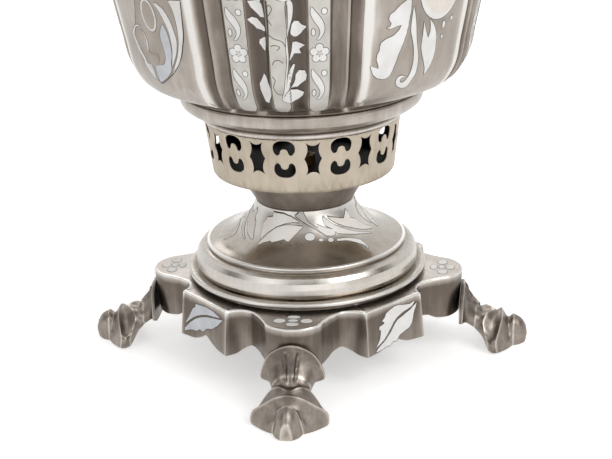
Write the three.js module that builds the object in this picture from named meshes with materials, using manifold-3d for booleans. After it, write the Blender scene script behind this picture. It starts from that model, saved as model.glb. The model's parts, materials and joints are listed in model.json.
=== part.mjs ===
// Samovar with a pierced gallery, in millimetres, +Z up.
// Every piece is drawn round the base's own axis, with the tap along -Y. At the end the whole is
// moved along Y, so that the origin lies on the ground under the middle of the overall box.

import * as THREE from 'three';
import { mergeVertices } from 'three/addons/utils/BufferGeometryUtils.js';
import Module from 'manifold-3d';

const wasm = await Module();
wasm.setup();

// Fits and sheet
const fitGap = 0.3;
const sheetWall = 1.2;
const cutOverrun = 6;

// Plinth: four flats, and on each corner two hollow bays and a rounded nose
const plinthTop = 43.5;
const plinthDrop = 25;
const plinthWall = 1.6;
const plinthEdge = 1.2;
const flatDistance = 70.2;
const flatHalfWidth = 19.3;
const noseReach = 85.8;
const baySink = 61.4;
const noseHalfWidth = 16.2;
const cuspRise = 5;
const bayRise = 5.4;
const arrisFlare = 2.4;
const noseTaper = 1.8;
const noseTipShare = 0.985;
const noseEdgeShare = 0.2;
const seatRadius = 61.2;
const seatHeight = 1.7;

// Feet
const footReach = 35.5;
const footHalfWidth = 19;
const footHeight = 35.5;
const leanShare = 0.3;

// Bell foot and neck collar
const flangeRadius = 65;
const bellHeight = 39.5;
const collarHeight = 16.2;
const collarTopRadius = 37.7;
const waistRadius = 24.4;

// Gallery
const galleryBottomRadius = 48.9;
const galleryTopRadius = 52.3;
const galleryHeight = 29.6;
const galleryWall = 1.3;
const galleryEdge = 2.4;
const floorPlate = 1.5;
const pairCount = 11;
const firstBeanAngle = 40.2;
const slotWidth = 8.9;
const slotHeight = 17.4;
const beanWidth = 11.1;
const beanHeight = 7.9;
const beanSpacing = 12;
const piercingRise = 19.4;

// Rings between gallery and body
const galleryRingRadius = 53.6;
const galleryRingHeight = 4.4;
const galleryRingWidth = 4.2;
const baseRingRadius = 64.3;
const baseRingHeight = 11.2;
const baseRingWall = 2;
const baseRingFlange = 10.4;

// Body
const bodyRadius = 108;
const bodyHeight = 168;
const fluteDepth = 2.3;
const bodyWall = 1.2;
const bodyFloor = 1.5;
const bodyFloorRadius = 62;
const inletRadius = 4.5;

// Fire tube and grate
const tubeBottomRadius = 30;
const tubeTopRadius = 25.2;
const tubeRise = 16;
const tubeDip = 10;
const tubeWall = 1.2;
const tubeFlangeRadius = 44;
const tubeFlange = 1.5;
const grateLip = 2.6;
const grateThickness = 2.4;
const grateBar = 2.6;
const grateSlot = 4.4;

// Tie through the foot
const rodRadius = 3;
const nutRadius = 6.4;
const nutHeight = 5;
const washerRadius = 14;
const washerThickness = 1.6;

// Shoulder ring and lid
const mouthShare = 0.745;
const mouthInset = 8.3;
const shoulderRingWidth = 9.6;
const shoulderRingHeight = 12;
const lidHeight = 43.4;
const lidSkirt = 6.5;
const lidOverhang = 8.3;
const collarRadius = 28.2;
const lidBore = 26.7;

// Lid knobs and steam vent
const knobShare = 0.468;
const stemRadius = 3.4;
const stemHeight = 15;
const knobRadius = 8.6;
const knobHeight = 17;
const ventShare = 0.5063;
const ventRadius = 5.6;
const ventHeight = 11;
const ventWall = 1.2;
const ventCapTop = 3;

// Crown and chimney cap
const crownRadius = 47.6;
const crownHeight = 22;
const crownWall = 1.3;
const crownFloorRise = 5;
const sleeveLength = 12;
const ledgeRadius = 21;
const ledgeThickness = 1.5;
const crownCellCount = 8;
const crownHoleWidth = 12;
const crownHoleHeight = 12;
const crownLip = 3.4;
const capHeight = 14.4;
const capRadius = 23.6;
const capSkirt = 5.6;

// Tap
const tapClearance = 14.6;
const tapReach = 34;
const tailRadius = 7.2;
const waterBore = 4.2;
const barrelRadius = 11.6;
const barrelHeight = 30;
const plugTopRadius = 7.4;
const plugBottomRadius = 6;
const spoutReach = 34;
const spoutDrop = 25;
const spoutRadius = 6.2;
const spoutLip = 1.12;
const rosetteRadius = 18.5;
const rosetteThickness = 5.4;
const keyRingRadius = 8.2;
const keyHoleRadius = 4;
const keyThickness = 5.4;
const keyStemHeight = 12;
const shankRadius = 3.2;
const shankHeight = 5;
const plugTail = 7;
const plugNutRadius = 5.8;
const plugNutHeight = 4;
const plugWasher = 1.4;

// Side handles
const handleHeight = 268;
const gripReach = 146;
const gripLength = 62;
const gripRadius = 9.6;
const armRadius = 4.3;
const armDrop = 20;
const eyeRadius = 7.6;
const eyeWidth = 6;
const rootRadius = 10.5;
const handleRodRadius = 2.4;
const finialRadius = 4.8;
const finialHeight = 7.4;

// Places worked out from the sizes above
const bellBottom = plinthTop + seatHeight + fitGap;
const waistTop = bellBottom + bellHeight;
const collarBottom = waistTop + fitGap;
const galleryBottom = collarBottom + collarHeight + fitGap;
const galleryTop = galleryBottom + galleryHeight;
const galleryRingBottom = galleryTop + fitGap;
const baseRingBottom = galleryRingBottom + galleryRingHeight + fitGap;
const bodyBottom = baseRingBottom + baseRingHeight + fitGap;
const bodyTop = bodyBottom + bodyHeight;
const mouthRadius = bodyRadius * mouthShare - mouthInset;
const lidRimRadius = mouthRadius + lidOverhang;
const knobReach = lidRimRadius + (collarRadius - lidRimRadius) * knobShare;
const ventReach = lidRimRadius + (collarRadius - lidRimRadius) * ventShare;
const shoulderBottom = bodyTop + fitGap;
const lidBottom = shoulderBottom + shoulderRingHeight + fitGap;
const tubeBottom = bodyBottom - tubeDip;
const tubeTop = lidBottom + lidHeight + tubeRise;
const tubeLength = tubeTop - tubeBottom;
const crownSeat = tubeTop + fitGap;
const capSeat = crownSeat + ledgeThickness + fitGap;
const tapHeight = bodyBottom + tapClearance + rosetteRadius;
const rodBore = rodRadius + fitGap;
const ringSides = 24;
const middleSides = 16;
const smallSides = 12;
const tinySides = 8;
const knobSides = 10;
const nutSides = 6;

// Finishes
const plate = { color: 0x9a9188, roughness: 0.3, metalness: 1 };
const palePlate = { color: 0xb3aca3, roughness: 0.25, metalness: 1 };
const darkPlate = { color: 0x6d655d, roughness: 0.45, metalness: 1 };
const tinned = { color: 0x8f8d88, roughness: 0.5, metalness: 1 };
const firedIron = { color: 0x3a3530, roughness: 0.8, metalness: 0.6 };
const brassCast = { color: 0xa58a55, roughness: 0.4, metalness: 1 };
const turnedWood = { color: 0x2a1a12, roughness: 0.35, metalness: 0 };

const samovar = new THREE.Group();

function add(name, geometry, finish, parent = samovar) {
  geometry.computeVertexNormals();
  const mesh = new THREE.Mesh(geometry, new THREE.MeshStandardMaterial(finish));
  mesh.name = name;
  parent.add(mesh);
  return mesh;
}

function degrees(angle) {
  return THREE.MathUtils.degToRad(angle);
}

function bare(geometry) {
  const copy = geometry.index ? geometry.clone() : mergeVertices(geometry);
  for (const attribute of Object.keys(copy.attributes)) {
    if (attribute !== 'position') copy.deleteAttribute(attribute);
  }
  return mergeVertices(copy, 1e-4);
}

// Turns the faces out, by the sign of the enclosed volume.
function outward(geometry) {
  const p = geometry.attributes.position.array;
  const t = geometry.index.array;
  let volume = 0;
  for (let i = 0; i < t.length; i += 3) {
    const [a, b, c] = [t[i] * 3, t[i + 1] * 3, t[i + 2] * 3];
    volume += p[a] * (p[b + 1] * p[c + 2] - p[b + 2] * p[c + 1])
      - p[a + 1] * (p[b] * p[c + 2] - p[b + 2] * p[c])
      + p[a + 2] * (p[b] * p[c + 1] - p[b + 1] * p[c]);
  }
  if (volume < 0) {
    for (let i = 0; i < t.length; i += 3) [t[i], t[i + 1]] = [t[i + 1], t[i]];
  }
  return geometry;
}

function meshOf(positions, triangles) {
  const geometry = new THREE.BufferGeometry();
  geometry.setAttribute('position', new THREE.Float32BufferAttribute(positions, 3));
  geometry.setIndex(triangles);
  return outward(geometry);
}

// Skin through rings of equal count. The last ring meets the first, or both ends are capped.
function loft(rings, capped = false) {
  const count = rings[0].length;
  const positions = rings.flat().flatMap((p) => [p.x, p.y, p.z]);
  const triangles = [];
  const spans = capped ? rings.length - 1 : rings.length;
  for (let i = 0; i < spans; i++) {
    const next = (i + 1) % rings.length;
    for (let j = 0; j < count; j++) {
      const k = (j + 1) % count;
      const [a, b, c, d] = [i * count + j, i * count + k, next * count + j, next * count + k];
      triangles.push(a, b, d, a, d, c);
    }
  }
  if (capped) {
    for (const end of [0, rings.length - 1]) {
      const ring = rings[end];
      const middle = ring.reduce((sum, p) => sum.add(p), new THREE.Vector3()).divideScalar(count);
      positions.push(middle.x, middle.y, middle.z);
      const centre = positions.length / 3 - 1;
      for (let j = 0; j < count; j++) {
        const [a, b] = [end * count + j, end * count + (j + 1) % count];
        if (end === 0) triangles.push(centre, b, a);
        else triangles.push(centre, a, b);
      }
    }
  }
  return meshOf(positions, triangles);
}

// Turned piece: a profile of [radius, height] points carried round the Z axis.
function turn(profile, sides = ringSides) {
  const closed = profile[0][0] === 0 ? profile : [...profile, profile[0]];
  const points = closed.map(([r, z]) => new THREE.Vector2(r, z));
  return outward(bare(new THREE.LatheGeometry(points, sides)).rotateX(Math.PI / 2));
}

// Places a table of shares in a box of a given radius and height, standing on a base level.
function scaled(shares, radius, height, base = 0) {
  return shares.map(([r, z]) => [r * radius, base + z * height]);
}

function solid(geometry) {
  const merged = bare(geometry);
  const index = merged.index.array;
  const kept = [];
  for (let i = 0; i < index.length; i += 3) {
    const [a, b, c] = [index[i], index[i + 1], index[i + 2]];
    if (a !== b && b !== c && a !== c) kept.push(a, b, c);
  }
  const mesh = new wasm.Mesh({
    numProp: 3,
    vertProperties: new Float32Array(merged.attributes.position.array),
    triVerts: new Uint32Array(kept),
  });
  return new wasm.Manifold(mesh);
}

function geometryOf(manifold) {
  const mesh = manifold.getMesh();
  const geometry = new THREE.BufferGeometry();
  geometry.setAttribute('position', new THREE.Float32BufferAttribute(mesh.vertProperties, 3));
  geometry.setIndex(Array.from(mesh.triVerts));
  return geometry;
}

// Joins a list of geometries, then cuts another list out of them.
function joinAndCut(joined, cut = []) {
  let body = solid(joined[0]);
  for (const piece of joined.slice(1)) body = body.add(solid(piece));
  for (const piece of cut) body = body.subtract(solid(piece));
  return geometryOf(body);
}

// Radius of a many-sided bore whose flats clear a round of the given radius.
function boreOver(radius, sides) {
  return (radius + fitGap) / Math.cos(Math.PI / sides);
}

function polar(radius, angle, z) {
  return new THREE.Vector3(radius * Math.cos(angle), radius * Math.sin(angle), z);
}

// Tube of changing radius along a curve, with flat ends.
function tubeAlong(curve, radiusAt, steps, sides) {
  const frames = curve.computeFrenetFrames(steps, false);
  const rings = [];
  for (let i = 0; i <= steps; i++) {
    const centre = curve.getPointAt(i / steps);
    const ring = [];
    for (let j = 0; j < sides; j++) {
      const angle = 2 * Math.PI * j / sides;
      const across = frames.normals[i].clone().multiplyScalar(Math.cos(angle));
      across.addScaledVector(frames.binormals[i], Math.sin(angle));
      ring.push(centre.clone().addScaledVector(across, radiusAt(i / steps)));
    }
    rings.push(ring);
  }
  return loft(rings, true);
}

function rod(radius, length, sides = smallSides) {
  return turn([[0, 0], [radius, 0], [radius, length], [0, length]], sides);
}

// Plinth outline, one corner: a flat's end, the hollow bay and the nose, then their mirror.
// Each entry is [along the corner's diagonal, across it, lower edge rise, flare at the lower edge].
function cornerOutline() {
  const arrisAlong = (flatDistance + flatHalfWidth) * Math.SQRT1_2;
  const arrisAcross = (flatDistance - flatHalfWidth) * Math.SQRT1_2;
  const length = noseReach - baySink;
  const bayShares = [[0.014, 0.79, 0.06], [0, 0.592, 0.5], [0.068, 0.362, 1], [0.227, 0.197, 0.9]];
  const noseShares = [[0.494, 1, 0.3], [0.72, 0.83, noseEdgeShare],
    [0.9, 0.5, noseEdgeShare], [noseTipShare, 0.17, noseEdgeShare]];
  const bay = bayShares.map(([out, across, rise]) => [
    baySink + length * out, noseHalfWidth + (arrisAcross - noseHalfWidth) * across, rise * bayRise, 0]);
  const nose = noseShares.map(([out, across, rise]) => [
    baySink + length * out, noseHalfWidth * across, rise * bayRise, -noseTaper]);
  const half = [[arrisAlong, arrisAcross, 0, arrisFlare], ...bay, ...nose];
  const mirrored = half.map(([s, w, rise, flare]) => [s, -w, rise, flare]);
  return [...mirrored, ...half.slice().reverse()];
}

function plinthOutline() {
  const flatSteps = 6;
  const points = [];
  for (let corner = 0; corner < 4; corner++) {
    const diagonal = degrees(45 + 90 * corner);
    const along = new THREE.Vector2(Math.cos(diagonal), Math.sin(diagonal));
    const across = new THREE.Vector2(-along.y, along.x);
    for (const [s, w, rise, flare] of cornerOutline()) {
      points.push({ at: along.clone().multiplyScalar(s).addScaledVector(across, w), rise, flare });
    }
    const flat = degrees(90 * (corner + 1));
    const out = new THREE.Vector2(Math.cos(flat), Math.sin(flat));
    const side = new THREE.Vector2(-out.y, out.x);
    for (let i = 1; i < flatSteps; i++) {
      const u = 2 * i / flatSteps - 1;
      const rise = cuspRise * (1 - Math.min(1, Math.abs(u) / 0.6)) ** 1.3;
      const at = out.clone().multiplyScalar(flatDistance).addScaledVector(side, u * flatHalfWidth);
      points.push({ at, rise, flare: arrisFlare * u * u });
    }
  }
  return points;
}

// Moves each outline point along the outline's own normal; a positive distance moves it inwards.
function inset(outline, distance) {
  return outline.map(({ at }, i) => {
    const before = outline[(i + outline.length - 1) % outline.length].at;
    const after = outline[(i + 1) % outline.length].at;
    const a = at.clone().sub(before).normalize();
    const b = after.clone().sub(at).normalize();
    const normal = new THREE.Vector2(-(a.y + b.y), a.x + b.x).normalize();
    const spread = Math.max(0.75, normal.dot(new THREE.Vector2(-a.y, a.x)));
    return at.clone().addScaledVector(normal, distance / spread);
  });
}

function makePlinth() {
  const outline = plinthOutline();
  const level = (points, z) => points.map((p) => new THREE.Vector3(p.x, p.y, z));
  const circle = (radius, z) => outline.map(({ at }) => polar(radius, at.angle(), z));
  const lower = (points, wall) => points.map((p, i) => {
    const { at, rise, flare } = outline[i];
    const out = at.clone().normalize().multiplyScalar(flare);
    return new THREE.Vector3(p.x + out.x, p.y + out.y, plinthTop - plinthDrop + rise + wall);
  });
  const rim = outline.map(({ at }) => at);
  const under = plinthTop - plinthWall;
  return loft([
    circle(rodBore, plinthTop + seatHeight),
    circle(seatRadius, plinthTop + seatHeight),
    circle(seatRadius + fitGap, plinthTop),
    level(inset(outline, plinthEdge), plinthTop),
    level(rim, plinthTop - plinthEdge),
    lower(rim, 0),
    lower(inset(outline, plinthWall), 0),
    level(inset(outline, plinthWall), under),
    circle(rodBore, under),
  ]);
}

// Cast foot, as sections from the fan plate to the toe. Each section lists half of its outline,
// from the top ridge over the flank to the sole, as shares of reach, half width and height.
const footSectionShares = [
  [[0, 0, 1], [0, 0.58, 0.87], [0, 0.83, 0.6], [0, 0.82, 0.46], [0, 0.42, 0.43], [0, 0, 0.43]],
  [[0.04, 0, 1], [0.04, 0.58, 0.87], [0.04, 0.83, 0.6], [0.04, 0.82, 0.46], [0.04, 0.42, 0.43],
    [0.04, 0, 0.43]],
  [[0.1, 0, 0.82], [0.09, 0.36, 0.76], [0.09, 0.6, 0.58], [0.09, 0.61, 0.44], [0.1, 0.3, 0.4],
    [0.1, 0, 0.4]],
  [[0.19, 0, 0.68], [0.19, 0.28, 0.62], [0.19, 0.49, 0.48], [0.19, 0.49, 0.34], [0.2, 0.26, 0.3],
    [0.2, 0, 0.3]],
  [[0.27, 0, 0.64], [0.26, 0.29, 0.59], [0.25, 0.5, 0.45], [0.28, 0.58, 0.25], [0.3, 0.38, 0.18],
    [0.31, 0, 0.18]],
  [[0.33, 0, 0.61], [0.31, 0.32, 0.55], [0.3, 0.57, 0.41], [0.38, 0.88, 0.15], [0.39, 0.72, 0],
    [0.39, 0, 0]],
  [[0.47, 0, 0.49], [0.46, 0.35, 0.42], [0.45, 0.62, 0.3], [0.43, 0.98, 0.18], [0.45, 0.9, 0],
    [0.45, 0, 0]],
  [[0.62, 0, 0.525], [0.61, 0.33, 0.485], [0.56, 0.66, 0.36], [0.5, 1, 0.2], [0.53, 0.93, 0],
    [0.54, 0, 0]],
  [[0.71, 0, 0.4], [0.7, 0.27, 0.335], [0.69, 0.42, 0.21], [0.67, 0.68, 0.07], [0.67, 0.64, 0],
    [0.67, 0, 0]],
  [[0.79, 0, 0.455], [0.785, 0.22, 0.385], [0.78, 0.33, 0.24], [0.775, 0.39, 0.045], [0.77, 0.36, 0],
    [0.77, 0, 0]],
  [[0.915, 0, 0.38], [0.9, 0.17, 0.325], [0.9, 0.25, 0.21], [0.89, 0.3, 0.04], [0.88, 0.26, 0],
    [0.88, 0, 0]],
  [[0.99, 0, 0.26], [0.985, 0.08, 0.24], [1, 0.12, 0.17], [0.98, 0.15, 0.045], [0.96, 0.12, 0],
    [0.96, 0, 0]],
];

// The fan plate leans with the nose it is soldered to; the lean runs out towards the toe.
function makeFoot() {
  const noseSlope = noseTaper / (plinthDrop - plinthEdge - noseEdgeShare * bayRise);
  const seat = baySink + (noseReach - baySink) * noseTipShare + fitGap;
  const rings = footSectionShares.map((section) => {
    const half = section.map(([s, w, z]) => {
      const lean = noseSlope * (plinthTop - plinthEdge - z * footHeight) * Math.max(0, 1 - s / leanShare);
      return new THREE.Vector3(seat + s * footReach - lean, w * footHalfWidth, z * footHeight);
    });
    const mirrored = half.slice(1, -1).reverse().map((p) => new THREE.Vector3(p.x, -p.y, p.z));
    return [...half, ...mirrored];
  });
  return loft(rings, true);
}

// Bell foot, from the waist down to the flange, as shares of flange radius and bell height.
const bellShares = [
  [0.375, 1], [0.375, 0.91], [0.47, 0.868], [0.67, 0.745], [0.78, 0.58], [0.83, 0.445], [0.815, 0.39],
  [0.885, 0.35], [0.925, 0.23], [0.91, 0.11], [0.885, 0.07], [0.985, 0.07], [1, 0.035], [0.99, 0],
];
const bellLiningShares = [[0.9, 0], [0.88, 0.3], [0.76, 0.4], [0.64, 0.7], [0.35, 0.87], [0.35, 1]];

function makeBellFoot() {
  const outer = scaled(bellShares, flangeRadius, bellHeight, bellBottom);
  return turn([...outer, ...scaled(bellLiningShares, flangeRadius, bellHeight, bellBottom)]);
}

// Neck collar: a cone that opens from the waist up to the gallery floor.
function makeCollar() {
  const flareShares = [[0, 0], [0.05, 0.15], [0.4, 0.62], [1, 1]];
  const outer = flareShares.map(([out, up]) => [
    waistRadius + (collarTopRadius - waistRadius) * out, collarBottom + collarHeight * up]);
  const inner = outer.map(([r, z]) => [r - sheetWall * 1.2, z]).reverse();
  return turn([...outer, ...inner]);
}

// Pierced wall: one cell with its holes is repeated round the axis, bent to a cone.
// The path takes the skin from the wall's outer foot round to its inner foot.
function piercedWall({ count, turnTo, height, base, outerRadius, wall, holes, path, cellSteps, rise }) {
  const cellAngle = 2 * Math.PI / count;
  const bottom = [];
  const top = [];
  for (let i = 0; i <= cellSteps; i++) {
    bottom.push(new THREE.Vector2(cellAngle * (i / cellSteps - 0.5), 0));
    top.push(new THREE.Vector2(cellAngle * (0.5 - i / cellSteps), height));
  }
  const sides = rise.map((share) => share * height);
  const right = sides.map((z) => new THREE.Vector2(cellAngle / 2, z));
  const left = sides.slice().reverse().map((z) => new THREE.Vector2(-cellAngle / 2, z));
  const contour = [...bottom, ...right, ...top, ...left];
  const faces = THREE.ShapeUtils.triangulateShape(contour, holes);
  const flat = [...contour, ...holes.flat()];
  const positions = [];
  const triangles = [];
  const place = (p, inwards, turned) => {
    const radius = outerRadius(p.y) - inwards;
    const at = polar(radius, turnTo + turned + p.x, base + p.y);
    positions.push(at.x, at.y, at.z);
    return positions.length / 3 - 1;
  };
  for (let cell = 0; cell < count; cell++) {
    const turned = cell * cellAngle;
    const outer = flat.map((p) => place(p, 0, turned));
    const inner = flat.map((p) => place(p, wall, turned));
    for (const [a, b, c] of faces) {
      triangles.push(outer[a], outer[b], outer[c], inner[c], inner[b], inner[a]);
    }
    let start = contour.length;
    for (const hole of holes) {
      for (let i = 0; i < hole.length; i++) {
        const [a, b] = [start + i, start + (i + 1) % hole.length];
        triangles.push(outer[a], inner[a], outer[b], outer[b], inner[a], inner[b]);
      }
      start += hole.length;
    }
    const topStart = bottom.length + right.length;
    for (let i = 0; i < cellSteps; i++) {
      const [a, b] = [topStart + i, topStart + i + 1];
      triangles.push(outer[b], outer[a], inner[a], outer[b], inner[a], inner[b]);
    }
    const rings = [bottom.map((p, i) => outer[i])];
    for (const [r, z] of path) {
      rings.push(bottom.map((p) => {
        const at = polar(r, turnTo + turned + p.x, z);
        positions.push(at.x, at.y, at.z);
        return positions.length / 3 - 1;
      }));
    }
    rings.push(bottom.map((p, i) => inner[i]));
    for (let k = 0; k + 1 < rings.length; k++) {
      for (let i = 0; i < cellSteps; i++) {
        const [a, b, c, d] = [rings[k][i], rings[k][i + 1], rings[k + 1][i], rings[k + 1][i + 1]];
        triangles.push(a, d, b, a, c, d);
      }
    }
  }
  const geometry = new THREE.BufferGeometry();
  geometry.setAttribute('position', new THREE.Float32BufferAttribute(positions, 3));
  geometry.setIndex(triangles);
  return mergeVertices(geometry, 1e-3);
}

// Hole outlines, one side from top to bottom, as shares of half width and half height.
const slotShares = [[0, 0.82], [0.79, 1], [0.58, 0.55], [1, 0]];
const beanShares = [
  [0, 1], [0.64, 0.8], [1, 0.05], [0.8, -0.85], [0.4, -0.9], [0.24, -0.3],
];

function slotHole(centreAngle, centreHeight, radius) {
  const quarter = slotShares.map(([x, y]) => [x * slotWidth / 2, y * slotHeight / 2]);
  const lowerRight = quarter.slice(0, -1).reverse().map(([x, y]) => [x, -y]);
  const right = [...quarter, ...lowerRight];
  const left = right.slice(1, -1).reverse().map(([x, y]) => [-x, y]);
  return [...right, ...left].map(([x, y]) => new THREE.Vector2(centreAngle + x / radius, centreHeight + y));
}

function beanHole(centreAngle, centreHeight, radius, way) {
  const right = beanShares.map(([x, y]) => [way * x * beanWidth / 2, way * y * beanHeight / 2]);
  const left = right.slice(1).reverse().map(([x, y]) => [-x, y]);
  return [...right, ...left].map(([x, y]) => new THREE.Vector2(centreAngle + x / radius, centreHeight + y));
}

function makeGallery() {
  const cellAngle = 2 * Math.PI / pairCount;
  const meanRadius = (galleryBottomRadius + galleryTopRadius) / 2;
  const wallHeight = galleryHeight - galleryEdge;
  const middle = piercingRise - galleryEdge;
  const beanAngle = -cellAngle / 4;
  const innerFoot = galleryBottomRadius - galleryWall;
  return piercedWall({
    count: pairCount,
    turnTo: degrees(firstBeanAngle) - beanAngle,
    height: wallHeight,
    base: galleryBottom + galleryEdge,
    outerRadius: (y) => galleryBottomRadius + (galleryTopRadius - galleryBottomRadius) * y / wallHeight,
    wall: galleryWall,
    holes: [
      beanHole(beanAngle, middle + beanSpacing / 2, meanRadius, 1),
      beanHole(beanAngle, middle - beanSpacing / 2, meanRadius, -1),
      slotHole(cellAngle / 4, middle, meanRadius),
    ],
    path: [
      [galleryBottomRadius - galleryEdge * 0.3, galleryBottom + galleryEdge * 0.3],
      [galleryBottomRadius - galleryEdge, galleryBottom],
      [rodBore, galleryBottom],
      [rodBore, galleryBottom + floorPlate],
      [innerFoot - galleryEdge * 0.7, galleryBottom + floorPlate],
    ],
    cellSteps: 3,
    rise: [0.5],
  });
}

function makeGalleryRing() {
  const outer = galleryRingRadius;
  const inner = galleryRingRadius - galleryRingWidth;
  const round = galleryRingHeight * 0.3;
  return turn([
    [inner, galleryRingBottom],
    [outer - round, galleryRingBottom],
    [outer, galleryRingBottom + round],
    [outer, galleryRingBottom + galleryRingHeight - round],
    [outer - round, galleryRingBottom + galleryRingHeight],
    [inner, galleryRingBottom + galleryRingHeight],
  ]);
}

// Base ring under the body: it flares from the gallery ring to the body's foot.
function makeBaseRing() {
  const inner = baseRingRadius - baseRingFlange;
  const topLevel = baseRingBottom + baseRingHeight;
  const outerShares = [[0.842, 0], [0.955, 0.2], [1, 0.42], [1, 0.88], [0.985, 1]];
  const outer = scaled(outerShares, baseRingRadius, baseRingHeight, baseRingBottom);
  return turn([
    ...outer,
    [inner, topLevel],
    [inner, topLevel - baseRingWall],
    [baseRingRadius - 2 * baseRingWall, topLevel - baseRingWall],
    [baseRingRadius - 2 * baseRingWall, baseRingBottom + baseRingHeight * 0.5],
    [outer[0][0] - baseRingWall, baseRingBottom],
  ]);
}

// Body silhouette over the ridges, as shares of body radius and body height.
const bodyShares = [
  [0.6, 0], [0.6, 0.012], [0.64, 0.02], [0.744, 0.042], [0.811, 0.1], [0.848, 0.2], [0.906, 0.39],
  [0.966, 0.6], [0.998, 0.79], [0.96, 0.905], [0.85, 0.97], [mouthShare, 1],
];

// Plan of one eighth, from the middle of a strip group to the middle of a panel:
// [angle from the group's middle, share of the flute's depth].
const planShares = [
  [0, 0], [2.9, 0], [5.7, 0.95], [8.55, 0], [14.85, 0], [17.2, 0.85], [19.9, 0.05], [22.2, 0.8],
  [24.4, 0.15], [34.5, 0.1], [45, 0],
];

function bodyPlan() {
  const upward = planShares.map(([angle, depth]) => [angle, depth]);
  const downward = planShares.slice(1, -1).reverse().map(([angle, depth]) => [90 - angle, depth]);
  const quarter = [...upward, ...downward];
  const plan = [];
  for (let corner = 0; corner < 4; corner++) {
    for (const [angle, depth] of quarter) plan.push([degrees(45 + 90 * corner + angle), depth]);
  }
  return plan;
}

// Share of the full flute depth at a height share: flutes end over the foot and on the shoulder.
function fluteFade(share) {
  const foot = THREE.MathUtils.clamp((share - 0.012) * 40, 0, 1);
  const shoulder = THREE.MathUtils.clamp((0.975 - share) * 10, 0, 1);
  return foot * shoulder;
}

function bodyRadiusAt(height) {
  const share = (height - bodyBottom) / bodyHeight;
  for (let i = 1; i < bodyShares.length; i++) {
    const [r0, z0] = bodyShares[i - 1];
    const [r1, z1] = bodyShares[i];
    if (share <= z1) return bodyRadius * (r0 + (r1 - r0) * (share - z0) / (z1 - z0));
  }
  return bodyRadius * bodyShares[bodyShares.length - 1][0];
}

function bodyRings(grow = 0) {
  const plan = bodyPlan();
  return bodyShares.map(([r, z]) => plan.map(([angle, depth]) => {
    const radius = r * bodyRadius - depth * fluteDepth * fluteFade(z) + grow;
    return polar(radius, angle, bodyBottom + z * bodyHeight);
  }));
}

// Solid a little larger than the body, which seats whatever is soldered to it.
function bodyEnvelope() {
  return loft(bodyRings(fitGap), true);
}

function makeBody() {
  const plan = bodyPlan();
  const circle = (radius, z) => plan.map(([angle]) => polar(radius, angle, z));
  const sink = fluteDepth + bodyWall;
  const lining = [9, 8, 4].map((i) => bodyShares[i]);
  const inside = lining.map(([r, z]) => circle(r * bodyRadius - sink, bodyBottom + z * bodyHeight));
  const neck = bodyRadius * bodyShares[bodyShares.length - 1][0] - bodyWall;
  const shell = loft([
    ...bodyRings(),
    circle(neck, bodyTop),
    ...inside,
    circle(bodyFloorRadius + fitGap, bodyBottom + bodyFloor + bodyWall),
    circle(bodyFloorRadius + fitGap, bodyBottom),
  ]);
  const inlet = rod(inletRadius, bodyRadius).rotateX(Math.PI / 2).translate(0, 0, tapHeight);
  return joinAndCut([shell], [inlet]);
}

// Floor of the water space, soldered between the body's foot and the fire tube.
function makeBodyFloor() {
  const hole = tubeRadiusAt(bodyBottom) + fitGap;
  return turn([
    [hole, bodyBottom], [bodyFloorRadius, bodyBottom], [bodyFloorRadius, bodyBottom + bodyFloor],
    [hole, bodyBottom + bodyFloor],
  ]);
}

// Fire tube: firebox at the foot, chimney at the top, one tapering tube with a lip for the grate.
function tubeRadiusAt(height) {
  return tubeBottomRadius + (tubeTopRadius - tubeBottomRadius) * (height - tubeBottom) / tubeLength;
}

function makeFireTube() {
  const flangeTop = bodyBottom - fitGap;
  const lipTop = bodyBottom + bodyFloor;
  const lipInner = tubeRadiusAt(lipTop) - tubeWall - grateLip;
  return turn([
    [tubeBottomRadius, tubeBottom],
    [tubeRadiusAt(flangeTop - tubeFlange), flangeTop - tubeFlange],
    [tubeFlangeRadius, flangeTop - tubeFlange],
    [tubeFlangeRadius, flangeTop],
    [tubeRadiusAt(flangeTop), flangeTop],
    [tubeTopRadius, tubeTop],
    [tubeTopRadius - tubeWall, tubeTop],
    [tubeRadiusAt(lipTop) - tubeWall, lipTop],
    [lipInner, lipTop],
    [lipInner, lipTop - tubeFlange],
    [tubeRadiusAt(lipTop) - tubeWall, lipTop - tubeFlange],
    [tubeBottomRadius - tubeWall, tubeBottom],
  ], middleSides);
}

// Grate: a cast disc with bars between straight slots.
function makeGrate() {
  const level = bodyBottom + bodyFloor + fitGap;
  const radius = tubeRadiusAt(level + grateThickness) - tubeWall - fitGap;
  const disc = rod(radius, grateThickness, middleSides).translate(0, 0, level);
  const pitch = grateBar + grateSlot;
  const slots = [];
  for (let i = -3; i <= 3; i++) {
    const half = Math.sqrt((radius - grateBar) ** 2 - (Math.abs(i) * pitch + grateSlot / 2) ** 2);
    const slot = new THREE.BoxGeometry(2 * half, grateSlot, grateThickness + cutOverrun);
    slots.push(slot.translate(0, i * pitch, level));
  }
  return joinAndCut([disc], slots);
}

// Tie that clamps plinth, bell foot, collar and gallery together.
function makeTie() {
  const washerTop = plinthTop - plinthWall - fitGap;
  const washerBottom = washerTop - washerThickness;
  const nutBottom = washerBottom - fitGap - nutHeight;
  const upperNut = galleryBottom + floorPlate + fitGap;
  const rodBottom = nutBottom - rodRadius * 0.4;
  const rodTop = upperNut + nutHeight + rodRadius * 0.4;
  const ring = (radius, bottom, height, sides) => {
    const bore = boreOver(rodRadius, sides);
    const top = bottom + height;
    return turn([[bore, bottom], [radius, bottom], [radius, top], [bore, top]], sides);
  };
  add('tie_rod', rod(rodRadius, rodTop - rodBottom).translate(0, 0, rodBottom), tinned);
  add('tie_washer', ring(washerRadius, washerBottom, washerThickness, smallSides), tinned);
  add('tie_nut_lower', ring(nutRadius, nutBottom, nutHeight, nutSides), brassCast);
  add('tie_nut_upper', ring(nutRadius, upperNut, nutHeight, nutSides), brassCast);
}

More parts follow.
